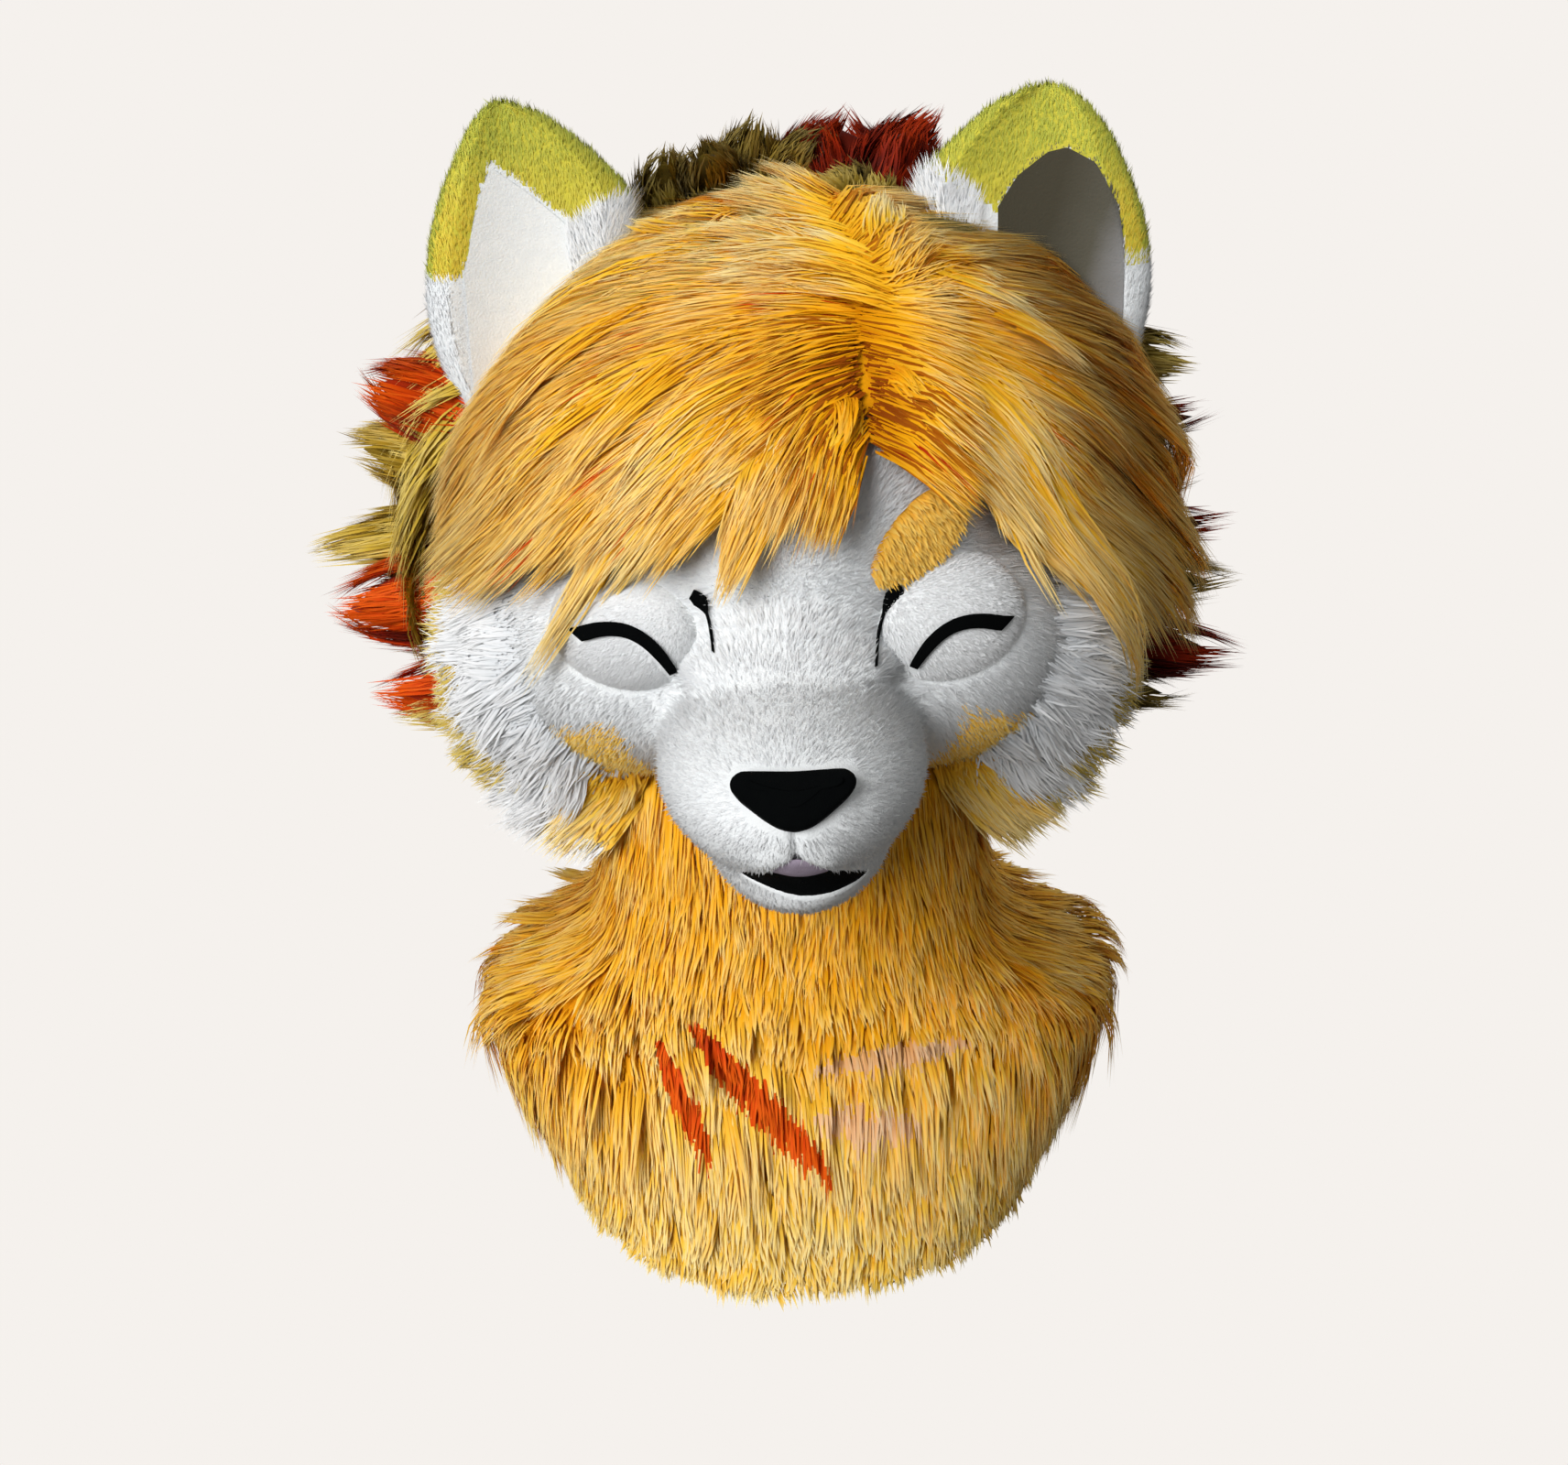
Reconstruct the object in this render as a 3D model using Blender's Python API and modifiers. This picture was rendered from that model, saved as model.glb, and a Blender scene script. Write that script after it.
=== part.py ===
"""Canine costume head with a wig, a mane, two ears and a fur bib.

The head faces -Y, +Z is up and +X is on the right as seen from the front.
Left and right are given as seen from the front. Sizes are in millimetres
and are scaled to metres where a mesh is made. The origin is the top of the
hollow, where the head sits on the wearer's crown.
"""
import math
from collections import namedtuple

import bmesh
import bpy
from mathutils import Matrix, Vector
from mathutils.bvhtree import BVHTree

MM = 0.001
GAP = 0.35
SEAT_LIFT = 2.6

# Foam head: overlapping ellipsoids, blended outwards from one inner point.
HEAD_CENTRE = Vector((0, -5, -95))
BLEND_POWER = 14
Form = namedtuple("Form", "name centre radii")
HEAD_FORMS = (
    Form("cranium", (0, 8, -70), (122, 148, 118)),
    Form("left cheek", (-62, -45, -135), (80, 88, 66)),
    Form("right cheek", (62, -45, -135), (80, 88, 66)),
    Form("muzzle", (0, -158, -160), (57, 82, 39)),
    Form("chin", (0, -140, -186), (40, 70, 31)),
    Form("brow", (0, -70, -75), (92, 70, 50)),
)
HEAD_SEGMENTS = 28
HEAD_RINGS = 23
MUZZLE_CROWDING = 1.35
MUZZLE_FALL = 14

# Hollow for the wearer's head, with its top at the origin, and the neck hole.
HOLLOW_CENTRE = (0, 0, -112)
HOLLOW_RADII = (98, 120, 112)
NECK_HOLE_RADII = (84, 92)
NECK_HOLE_CENTRE = (0, 3, -235.5)
NECK_HOLE_LENGTH = 160

# Ear: one row for each level. Outer and inner are distances from the centre plane.
EarRow = namedtuple("EarRow", "z outer inner depth")
EAR_ROWS = (
    EarRow(-48, 146, 98, 34),
    EarRow(-20, 161, 84, 36),
    EarRow(10, 167, 73, 36),
    EarRow(40, 164, 67, 33),
    EarRow(62, 157, 67, 29),
    EarRow(77, 150, 79, 25),
    EarRow(88, 144, 91, 21),
    EarRow(97, 138, 103, 17),
    EarRow(103, 131, 117, 12),
)
EAR_Y = 6
EAR_DISH = 13
EAR_DISH_SHARE = 0.74
EAR_BACK_COLUMNS = (0.8, 0.4, 0.0, -0.4, -0.8)
EAR_BLOCK_COLUMNS = (-1.0, -0.9, -0.6, -0.2, 0.2, 0.6, 0.9, 1.0)
EAR_COLUMNS = (-1.0, -0.92, -0.8, -0.64, -0.34, 0.0, 0.34, 0.64, 0.8, 0.92, 1.0)
LINING_COLUMNS = (-0.64, -0.34, 0.0, 0.34, 0.64)
LINING_ROWS = 6
LINING_THICKNESS = 2.0
EAR_ROOM = 1.0

# Nose, eyes, brow and mouth.
NOSE_CENTRE = (0, -233, -146)
NOSE_TILT = 28
NOSE_HALF_WIDTH = 25.5
NOSE_HEIGHT = 25
NOSE_THICKNESS = 17
NOSE_ROUNDING = 3.2
NOSE_PROFILE = (
    (-0.82, 0.5),
    (0.0, 0.46),
    (0.82, 0.5),
    (1.0, 0.3),
    (0.86, 0.05),
    (0.42, -0.34),
    (0.16, -0.5),
    (-0.16, -0.5),
    (-0.42, -0.34),
    (-0.86, 0.05),
    (-1.0, 0.3),
)
EYE_CENTRE = (70, -117, -111)
EYE_RADII = (37, 24, 31)
EYE_TURN = 20
EYE_GRID = (16, 9)
EYE_LINE_WIDTH = 6.0
EYE_LINE_THICKNESS = 1.4
EYE_LINE_CURVE = ((97, -104), (72, -96), (58, -104), (51, -126))
EYE_LINE_STEPS = 5
EYE_RIM_WIDTH = 6.0
EYE_RIM_THICKNESS = 2.0
EYE_RIM_CURVE = ((43, -84), (37, -88), (33, -96), (32, -108))
EYE_RIM_STEPS = 3
FACE_DEPTH = (-170, -70)
BROW_CENTRE = (56, -69)
BROW_HALF_LENGTH = 24
BROW_HALF_WIDTH = 12.5
BROW_FLARE = 2.5
BROW_TURN = 38
BROW_THICKNESS = 2.2
BROW_POINTS = 12
MOUTH_HALF_WIDTH = 26
MOUTH_TOP = -189
MOUTH_DROP = 10
LIP_NOTCH_HALF_WIDTH = 14
LIP_NOTCH_HEIGHT = 9
MOUTH_DEPTH = 7
MOUTH_LINING_THICKNESS = 3
MOUTH_PLAY = 1.0
TONGUE_THICKNESS = 5
MOUTH_STEPS = 8
MUZZLE_DEPTH = (-260, -170)

# Fur caps: the lower edge of a cap by azimuth. Directions are taken from the head's
# centre in degrees, azimuth 0 to the front and +90 to the right. Lift is how far
# the edge stands off the head.
CapEdge = namedtuple("CapEdge", "azimuth low high lift")
CAP_LEFT = (
    CapEdge(-104, 57, 88, 12),
    CapEdge(-99, 42, 88, 16),
    CapEdge(-94.5, 14, 88, 30),
    CapEdge(-88, 5, 88, 30),
    CapEdge(-79, 4, 88, 26),
    CapEdge(-68, 2, 88, 16),
    CapEdge(-54, 0, 88, 8),
    CapEdge(-40, 4, 88, 5),
    CapEdge(-24, 11, 88, 5),
    CapEdge(-10, 10, 88, 5),
    CapEdge(0, 18, 88, 5),
    CapEdge(8, 26, 88, 4),
    CapEdge(15, 32, 88, 4),
    CapEdge(20, 52, 88, 4),
    CapEdge(30, 66, 88, 4),
    CapEdge(60, 76, 88, 6),
    CapEdge(110, 74, 88, 10),
    CapEdge(160, 68, 88, 14),
    CapEdge(210, 66, 88, 14),
    CapEdge(240, 64, 88, 12),
)
CAP_RIGHT = (
    CapEdge(16.5, 29, 32, 3),
    CapEdge(21, 29, 50, 4),
    CapEdge(30, 24, 63, 5),
    CapEdge(42, 13, 70, 8),
    CapEdge(52, 4, 73, 10),
    CapEdge(60, -8, 74, 14),
    CapEdge(70, -14, 74, 26),
    CapEdge(79, -14, 74, 40),
    CapEdge(87, -10, 74, 46),
    CapEdge(94.5, 4, 74, 44),
    CapEdge(99, 38, 74, 26),
    CapEdge(105, 56, 74, 14),
)

# Locks combed over the caps, from root to tip.
Strand = namedtuple("Strand", "root_az root_el tip_az tip_el lift width", defaults=(0,))
LOCKS_LEFT = (
    Strand(178, 80, -98, 60, 22, 38),
    Strand(60, 84, -84, 52, 24, 38),
    Strand(24, 68, -86, 24, 34, 40),
    Strand(21, 60, -81, 10, 36, 38),
    Strand(18, 53, -74, 0, 28, 34),
    Strand(15, 46, -43, -12, 14, 30),
    Strand(16, 49, -62, -6, 14, 28),
    Strand(14, 42, -50, -3, 13, 26),
    Strand(14, 40, -38, 1, 12, 26),
    Strand(13, 38, -24, 4, 12, 26),
    Strand(13, 36, -11, 2, 13, 26),
    Strand(13, 34, -1, 14, 11, 23),
    Strand(12, 36, 8, 23, 9, 20),
    Strand(150, 86, -160, 66, 18, 50),
)
LOCKS_RIGHT = (
    Strand(60, 70, 68, 58, 20, 34),
    Strand(50, 68, 84, 46, 34, 38),
    Strand(40, 65, 84, 30, 48, 40),
    Strand(34, 60, 89, 12, 64, 40),
    Strand(29, 56, 90, -4, 68, 40),
    Strand(26, 51, 87, -18, 58, 36),
    Strand(24, 47, 69, -25, 34, 34),
    Strand(23, 44, 55, -10, 14, 28),
    Strand(22, 41, 45, 4, 12, 26),
    Strand(21, 38, 33, 17, 10, 22),
    Strand(20, 35, 24, 23, 8, 18),
)
LOCK_START = 0.3
LOCK_BOW = 5
COMBED_STATIONS = ((0, 0.7), (0.3, 1.0), (0.58, 0.95), (0.82, 0.62), (1.0, 0))
STANDING_STATIONS = ((0, 0.9), (0.3, 1.0), (0.55, 0.86), (0.78, 0.5))
CAP_PILE = 14
LOCK_CLEARANCE = 7
LOCK_FLATNESS = 0.5

# Fur panels: the first and last rows of ridged pile.
CHEEK = (
    Strand(64, 0, 92, -10, 30),
    Strand(57, -8, 92, -20, 36),
    Strand(52, -18, 92, -32, 48),
    Strand(49, -28, 85, -43, 56),
    Strand(45, -36, 73, -50, 58),
    Strand(41, -42, 62, -54, 62),
)
MANE = (
    Strand(97.5, 22, 97.5, -32, 46),
    Strand(107, 48, 106, -38, 62),
    Strand(137, 60, 134, -40, 30),
    Strand(180, 60, 180, -42, 18),
    Strand(223, 60, 226, -40, 30),
    Strand(253, 48, 254, -38, 62),
    Strand(262.5, 22, 262.5, -32, 46),
)

# Locks that stand out of the mane: base direction in degrees, tip point, width.
Lock = namedtuple("Lock", "base_az base_el tip_x tip_y tip_z width")
RED_LOCKS = {
    "red_lock_left_top": Lock(-104, 22, -206, 32, -20, 42),
    "red_lock_left_middle": Lock(-104, -14, -236, 36, -143, 46),
    "red_lock_left_low": Lock(-104, -30, -220, 34, -189, 36),
    "red_lock_right_top": Lock(104, 10, 224, 44, -60, 28),
    "red_lock_right_middle": Lock(104, -6, 238, 56, -123, 26),
    "red_lock_right_low": Lock(104, -26, 246, 42, -191, 44),
    "red_lock_crest_middle": Lock(172, 54, 38, 86, 90, 48),
    "red_lock_crest_right": Lock(150, 50, 84, 80, 86, 42),
}
YELLOW_LOCKS = (
    Lock(-104, 10, -217, 38, -57, 46),
    Lock(-104, -2, -245, 44, -116, 42),
    Lock(-104, -22, -214, 34, -168, 32),
    Lock(-104, -35, -217, 30, -209, 34),
    Lock(-104, -37, -178, 24, -230, 32),
    Lock(104, 24, 212, 38, -34, 42),
    Lock(104, 2, 214, 38, -92, 42),
    Lock(104, -16, 240, 44, -150, 40),
    Lock(104, -34, 216, 30, -210, 34),
    Lock(104, -37, 182, 24, -221, 32),
    Lock(-172, 56, -6, 64, 92, 44),
    Lock(-148, 54, -52, 50, 78, 36),
)

# Bib: one row for each level of the fur's outer surface.
BibRow = namedtuple("BibRow", "z half_width front back")
BIB_ROWS = (
    BibRow(-176, 97, 105, 98),
    BibRow(-215, 98, 108, 100),
    BibRow(-262, 101, 111, 103),
    BibRow(-300, 109, 114, 106),
    BibRow(-324, 142, 118, 112),
    BibRow(-342, 168, 122, 116),
    BibRow(-364, 168, 127, 118),
    BibRow(-400, 153, 132, 119),
    BibRow(-438, 135, 135, 118),
    BibRow(-462, 120, 134, 114),
)
BIB_LOCKS = 15
BIB_THICKNESS = 13
BIB_RIDGE = 5
BIB_LOCK_DROP = 14
BIB_ROUNDNESS = 2.3

PIECES = "fursuit_head"
CUTTERS = "cutters"
SMOOTH_BELOW = 35
COLOURS = {
    "white": (0.86, 0.88, 0.9),
    "lining": (0.82, 0.85, 0.88),
    "yellow": (0.86, 0.56, 0.12),
    "red": (0.75, 0.16, 0.03),
    "black": (0.01, 0.012, 0.015),
    "pink": (0.72, 0.58, 0.68),
    "lime": (0.72, 0.7, 0.16),
}


def material(name):
    """A plain fur or cloth finish of one named colour."""
    made = bpy.data.materials.get(name)
    if made is None:
        made = bpy.data.materials.new(name)
        made.use_nodes = True
        shader = made.node_tree.nodes["Principled BSDF"]
        shader.inputs["Base Color"].default_value = (*COLOURS[name], 1)
        shader.inputs["Roughness"].default_value = 0.85
        shader.inputs["Metallic"].default_value = 0
    return made


def collection(name):
    made = bpy.data.collections.get(name)
    if made is None:
        made = bpy.data.collections.new(name)
        bpy.context.scene.collection.children.link(made)
    return made


def new_object(name, mesh, colour=None):
    """A piece of the head if it has a colour, and otherwise a cutter or a lock to join."""
    made = bpy.data.objects.new(name, mesh)
    if colour:
        mesh.materials.append(material(colour))
        collection(PIECES).objects.link(made)
    else:
        made.hide_render = True
        made.display_type = "WIRE"
        collection(CUTTERS).objects.link(made)
    return made


def finish_mesh(bm, name, colour=None):
    """Closes a bmesh into an object, with its faces outwards and its size in metres."""
    bmesh.ops.remove_doubles(bm, verts=bm.verts, dist=0.001)
    bmesh.ops.recalc_face_normals(bm, faces=bm.faces)
    bmesh.ops.triangulate(bm, faces=bm.faces)
    bmesh.ops.scale(bm, vec=(MM, MM, MM), verts=bm.verts)
    mesh = bpy.data.meshes.new(name)
    bm.to_mesh(mesh)
    bm.free()
    return new_object(name, mesh, colour)


def direction(azimuth, elevation):
    a = math.radians(azimuth)
    e = math.radians(elevation)
    return Vector((math.sin(a) * math.cos(e), -math.cos(a) * math.cos(e), math.sin(e)))


def head_radius(way):
    """How far the blended ellipsoids reach from the head's centre along a unit vector."""
    total = 0.0
    for form in HEAD_FORMS:
        start = [(HEAD_CENTRE[i] - form.centre[i]) / form.radii[i] for i in range(3)]
        step = [way[i] / form.radii[i] for i in range(3)]
        a = sum(s * s for s in step)
        b = sum(s * o for s, o in zip(step, start))
        c = sum(o * o for o in start) - 1
        inside = b * b - a * c
        if inside > 0:
            total += max((-b + math.sqrt(inside)) / a, 0) ** BLEND_POWER
    return total ** (1 / BLEND_POWER)


def on_head(way, offset=0.0):
    return HEAD_CENTRE + way * (head_radius(way) + offset)


def head_solid(name, offset=0.0, colour=None):
    """The whole head without its hollow, grown by offset. Its rings crowd at the muzzle."""
    bm = bmesh.new()
    bmesh.ops.create_uvsphere(bm, u_segments=HEAD_SEGMENTS, v_segments=HEAD_RINGS, radius=1)
    fall = Matrix.Rotation(math.radians(MUZZLE_FALL), 3, "X")
    for vert in bm.verts:
        polar = math.acos(max(-1, min(1, vert.co.z)))
        around = math.atan2(vert.co.y, vert.co.x)
        polar = math.pi * (polar / math.pi) ** MUZZLE_CROWDING
        way = Vector(
            (
                math.sin(polar) * math.cos(around),
                -math.cos(polar),
                math.sin(polar) * math.sin(around),
            )
        )
        vert.co = on_head(fall @ way, offset)
    return finish_mesh(bm, name, colour)


def ellipsoid(name, centre, radii, segments=20, rings=12, turn=0, colour=None):
    bm = bmesh.new()
    bmesh.ops.create_uvsphere(bm, u_segments=segments, v_segments=rings, radius=1)
    bmesh.ops.scale(bm, vec=radii, verts=bm.verts)
    spin = Matrix.Rotation(math.radians(turn), 3, "Z")
    bmesh.ops.rotate(bm, cent=(0, 0, 0), matrix=spin, verts=bm.verts)
    bmesh.ops.translate(bm, vec=centre, verts=bm.verts)
    return finish_mesh(bm, name, colour)


def prism(name, outline, front, back, colour=None):
    """An outline in the X-Z plane, carried from y = front to y = back."""
    bm = bmesh.new()
    face = bm.faces.new([bm.verts.new((x, front, z)) for x, z in outline])
    carried = bmesh.ops.extrude_face_region(bm, geom=[face])
    moved = [g for g in carried["geom"] if isinstance(g, bmesh.types.BMVert)]
    bmesh.ops.translate(bm, vec=(0, back - front, 0), verts=moved)
    return finish_mesh(bm, name, colour)


def wall(name, outer, inner, closed=False, domed=False, colour=None):
    """A wall between two grids of points, with rows from root to hem.

    Closed joins the last column to the first, and domed closes both skins at the root.
    """
    bm = bmesh.new()
    rows = len(outer)
    columns = len(outer[0])
    skins = [[[bm.verts.new(p) for p in row] for row in grid] for grid in (outer, inner)]
    spans = columns if closed else columns - 1

    def quad(*corners):
        bm.faces.new(corners)

    for c in range(spans):
        d = (c + 1) % columns
        for skin in skins:
            for r in range(rows - 1):
                quad(skin[r][c], skin[r][d], skin[r + 1][d], skin[r + 1][c])
        for r in (rows - 1,) if domed else (0, rows - 1):
            quad(skins[0][r][c], skins[0][r][d], skins[1][r][d], skins[1][r][c])
    if domed:
        for skin in skins:
            bm.faces.new(skin[0])
    if not closed:
        for c in (0, columns - 1):
            for r in range(rows - 1):
                quad(skins[0][r][c], skins[0][r + 1][c], skins[1][r + 1][c], skins[1][r][c])
    return finish_mesh(bm, name, colour)


def boolean(target, other, operation, solver="EXACT"):
    """Applies one Boolean to target and removes the other object."""
    step = target.modifiers.new("step", "BOOLEAN")
    step.operation = operation
    step.solver = solver
    step.object = other
    bpy.context.view_layer.update()
    graph = bpy.context.evaluated_depsgraph_get()
    mesh = bpy.data.meshes.new_from_object(target.evaluated_get(graph))
    target.modifiers.remove(step)
    target.data = mesh
    bpy.data.objects.remove(other)
    keep_largest_body(target)
    return target


def keep_largest_body(target):
    """Drops the crumbs that a cut can leave beside the main body."""
    bm = bmesh.new()
    bm.from_mesh(target.data)
    left = set(bm.verts)
    bodies = []
    while left:
        body = set()
        front = [left.pop()]
        while front:
            vert = front.pop()
            body.add(vert)
            for edge in vert.link_edges:
                other = edge.other_vert(vert)
                if other in left:
                    left.remove(other)
                    front.append(other)
        bodies.append(body)
    bodies.sort(key=len)
    crumbs = [vert for body in bodies[:-1] for vert in body]
    bmesh.ops.delete(bm, geom=crumbs, context="VERTS")
    bm.to_mesh(target.data)
    bm.free()


def grown_copy(source, by):
    """A copy of a finished piece that is larger by a clearance all round."""
    copy = new_object(source.name + "_grown", source.data.copy())
    step = copy.modifiers.new("grow", "DISPLACE")
    step.strength = by * MM
    step.mid_level = 0
    bpy.context.view_layer.update()
    graph = bpy.context.evaluated_depsgraph_get()
    mesh = bpy.data.meshes.new_from_object(copy.evaluated_get(graph))
    copy.modifiers.remove(step)
    copy.data = mesh
    return copy


def seat(piece, *neighbours):
    """Cuts a piece so that it lies against the head and its neighbours, a gap away."""
    boolean(piece, head_solid("head_cutter", GAP), "DIFFERENCE")
    return clear_of(piece, *neighbours)


def clear_of(piece, *neighbours):
    """Cuts away what a piece would share with its neighbours, grown by the gap."""
    for neighbour in neighbours:
        cutter = grown_copy(neighbour, GAP)
        if surfaces_cross(piece, cutter):
            boolean(piece, cutter, "DIFFERENCE", "MANIFOLD")
        else:
            bpy.data.objects.remove(cutter)
    return piece


def free_ears(piece):
    for side in (-1, 1):
        block = ear_block(side)
        if surfaces_cross(piece, block):
            boolean(piece, block, "DIFFERENCE", "MANIFOLD")
        else:
            bpy.data.objects.remove(block)


def surfaces_cross(one, other):
    trees = []
    for item in (one, other):
        bm = bmesh.new()
        bm.from_mesh(item.data)
        trees.append(BVHTree.FromBMesh(bm))
        bm.free()
    return bool(trees[0].overlap(trees[1]))


# Head shell and face


def arch(half, height, base, steps):
    """Points of a low arch over a chord, from -X to +X. A height below 0 makes a smile."""
    across = [half * (2 * k / steps - 1) for k in range(steps + 1)]
    return [(x, base + height * (1 - (x / half) ** 2)) for x in across]


def mouth_outline():
    """The mouth as a smile below and a notch under the nose above."""
    lower = arch(MOUTH_HALF_WIDTH, -MOUTH_DROP, MOUTH_TOP, MOUTH_STEPS)
    notch = arch(LIP_NOTCH_HALF_WIDTH, LIP_NOTCH_HEIGHT, MOUTH_TOP, MOUTH_STEPS)
    return lower + notch[::-1]


def build_head_shell():
    shell = head_solid("head_shell", colour="white")
    boolean(shell, ellipsoid("hollow", HOLLOW_CENTRE, HOLLOW_RADII), "DIFFERENCE")
    hole = bmesh.new()
    bmesh.ops.create_cone(hole, cap_ends=True, segments=26, radius1=1, radius2=1, depth=1)
    bmesh.ops.scale(hole, vec=(*NECK_HOLE_RADII, NECK_HOLE_LENGTH), verts=hole.verts)
    bmesh.ops.translate(hole, vec=NECK_HOLE_CENTRE, verts=hole.verts)
    boolean(shell, finish_mesh(hole, "neck_hole"), "DIFFERENCE")
    groove = prism("groove", mouth_outline(), *MUZZLE_DEPTH)
    boolean(groove, head_solid("groove_floor", -MOUTH_DEPTH), "DIFFERENCE")
    boolean(shell, groove, "DIFFERENCE")


def skin_patch(name, outline, under, over, depth, colour):
    """A layer of the head's own curve, cut to an outline seen from the front."""
    patch = prism(name, outline, *depth, colour)
    boolean(patch, head_solid("over", over), "INTERSECT")
    boolean(patch, head_solid("under", under), "DIFFERENCE")
    return patch


def build_mouth():
    """The black lining in the smile, and the tongue in the notch over it."""
    floor = -MOUTH_DEPTH + GAP
    half = MOUTH_HALF_WIDTH - MOUTH_PLAY
    top = MOUTH_TOP - MOUTH_PLAY / 2
    lower = arch(half, -MOUTH_DROP + MOUTH_PLAY, top, MOUTH_STEPS)
    upper = arch(half, MOUTH_PLAY / 2, top, MOUTH_STEPS)
    over = floor + MOUTH_LINING_THICKNESS
    outline = lower[:-1] + upper[:0:-1]
    skin_patch("mouth_lining", outline, floor, over, MUZZLE_DEPTH, "black")
    half = LIP_NOTCH_HALF_WIDTH - 2.5 * MOUTH_PLAY
    height = LIP_NOTCH_HEIGHT - 2.4 * MOUTH_PLAY
    outline = arch(half, height, MOUTH_TOP + MOUTH_PLAY, MOUTH_STEPS)
    skin_patch("tongue", outline, floor, floor + TONGUE_THICKNESS, MUZZLE_DEPTH, "pink")


def build_nose():
    """A rounded triangle, thick in the middle, laid on the muzzle's end."""
    outline = [(x * NOSE_HALF_WIDTH, z * NOSE_HEIGHT) for x, z in NOSE_PROFILE]
    nose = prism("nose", outline, -NOSE_THICKNESS / 2, NOSE_THICKNESS / 2, "black")
    edge = nose.modifiers.new("round", "BEVEL")
    edge.width = NOSE_ROUNDING * MM
    edge.segments = 2
    edge.limit_method = "ANGLE"
    edge.angle_limit = math.radians(60)
    bpy.context.view_layer.update()
    graph = bpy.context.evaluated_depsgraph_get()
    mesh = bpy.data.meshes.new_from_object(nose.evaluated_get(graph))
    nose.modifiers.remove(edge)
    mesh.transform(Matrix.Rotation(math.radians(-NOSE_TILT), 4, "X"))
    mesh.transform(Matrix.Translation(Vector(NOSE_CENTRE) * MM))
    nose.data = mesh
    return seat(nose)


def ribbon_outline(path, half_width):
    """A band of even width along a path of (x, z) points, cut square at its ends."""
    left = []
    right = []
    for k, (x, z) in enumerate(path):
        ax, az = path[max(k - 1, 0)]
        bx, bz = path[min(k + 1, len(path) - 1)]
        length = math.hypot(bx - ax, bz - az)
        nx = -(bz - az) / length * half_width
        nz = (bx - ax) / length * half_width
        left.append((x + nx, z + nz))
        right.append((x - nx, z - nz))
    return left + right[::-1]


def bezier(points, steps, side):
    """Points (x, z) on the cubic curve of four controls, mirrored where side is -1."""
    made = []
    for k in range(steps + 1):
        t = k / steps
        weights = ((1 - t) ** 3, 3 * t * (1 - t) ** 2, 3 * t * t * (1 - t), t**3)
        x, z = (sum(w * p[i] for w, p in zip(weights, points)) for i in range(2))
        made.append((side * x, z))
    return made


def build_eye(side, name):
    """A padded closed eyelid with its black lash line and the dark rim behind it."""
    x, y, z = EYE_CENTRE
    centre = (side * x, y, z)
    pad = ellipsoid("eye_pad_" + name, centre, EYE_RADII, *EYE_GRID, side * EYE_TURN, "white")
    seat(pad)
    path = bezier(EYE_LINE_CURVE, EYE_LINE_STEPS, side)
    outline = ribbon_outline(path, EYE_LINE_WIDTH / 2)
    line = prism("eye_line_" + name, outline, *FACE_DEPTH, "black")
    radii = [r + GAP + EYE_LINE_THICKNESS for r in EYE_RADII]
    cover = ellipsoid("cover", centre, radii, *EYE_GRID, side * EYE_TURN)
    boolean(line, cover, "INTERSECT")
    seat(line, pad)
    path = bezier(EYE_RIM_CURVE, EYE_RIM_STEPS, side)
    outline = ribbon_outline(path, EYE_RIM_WIDTH / 2)
    over = GAP + EYE_RIM_THICKNESS
    rim = skin_patch("eye_rim_" + name, outline, GAP, over, FACE_DEPTH, "black")
    clear_of(rim, pad)
    return pad, line, rim


def build_brow(eyes):
    """The oval brow mark above the right eye."""
    turn = Matrix.Rotation(math.radians(BROW_TURN), 2)
    outline = []
    for k in range(BROW_POINTS):
        a = 2 * math.pi * k / BROW_POINTS
        across = (BROW_HALF_WIDTH + BROW_FLARE * math.cos(a)) * math.sin(a)
        outline.append(turn @ Vector((BROW_HALF_LENGTH * math.cos(a), across)) + Vector(BROW_CENTRE))
    brow = skin_patch("brow_mark", outline, GAP, GAP + BROW_THICKNESS, FACE_DEPTH, "yellow")
    return clear_of(brow, *eyes)


# Ears


def ear_front(row, u):
    """Y of the ear's front at column u, from -1 outside to +1 inside: a rim round a dish."""
    rim = row.depth / 2 * math.sqrt(max(0, 1 - u * u))
    dish = EAR_DISH * row.depth / 36 * max(0, 1 - (u / EAR_DISH_SHARE) ** 2)
    return EAR_Y - rim + dish


def ear_x(row, u, side):
    return side * ((row.outer + row.inner) / 2 - u * (row.outer - row.inner) / 2)


def ear_back(row, side, grow=0.0):
    made = []
    for u in EAR_BACK_COLUMNS:
        y = EAR_Y + (row.depth / 2 + grow) * math.sqrt(1 - u * u)
        made.append(Vector((ear_x(row, u, side), y, row.z)))
    return made


def loft(name, rings, colour=None):
    """A solid through rings of equal length, with flat ends."""
    bm = bmesh.new()
    loops = [[bm.verts.new(p) for p in ring] for ring in rings]
    count = len(rings[0])
    for low, high in zip(loops, loops[1:]):
        for k in range(count):
            n = (k + 1) % count
            bm.faces.new((low[k], low[n], high[n], high[k]))
    bm.faces.new(loops[0])
    bm.faces.new(loops[-1])
    return finish_mesh(bm, name, colour)


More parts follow.
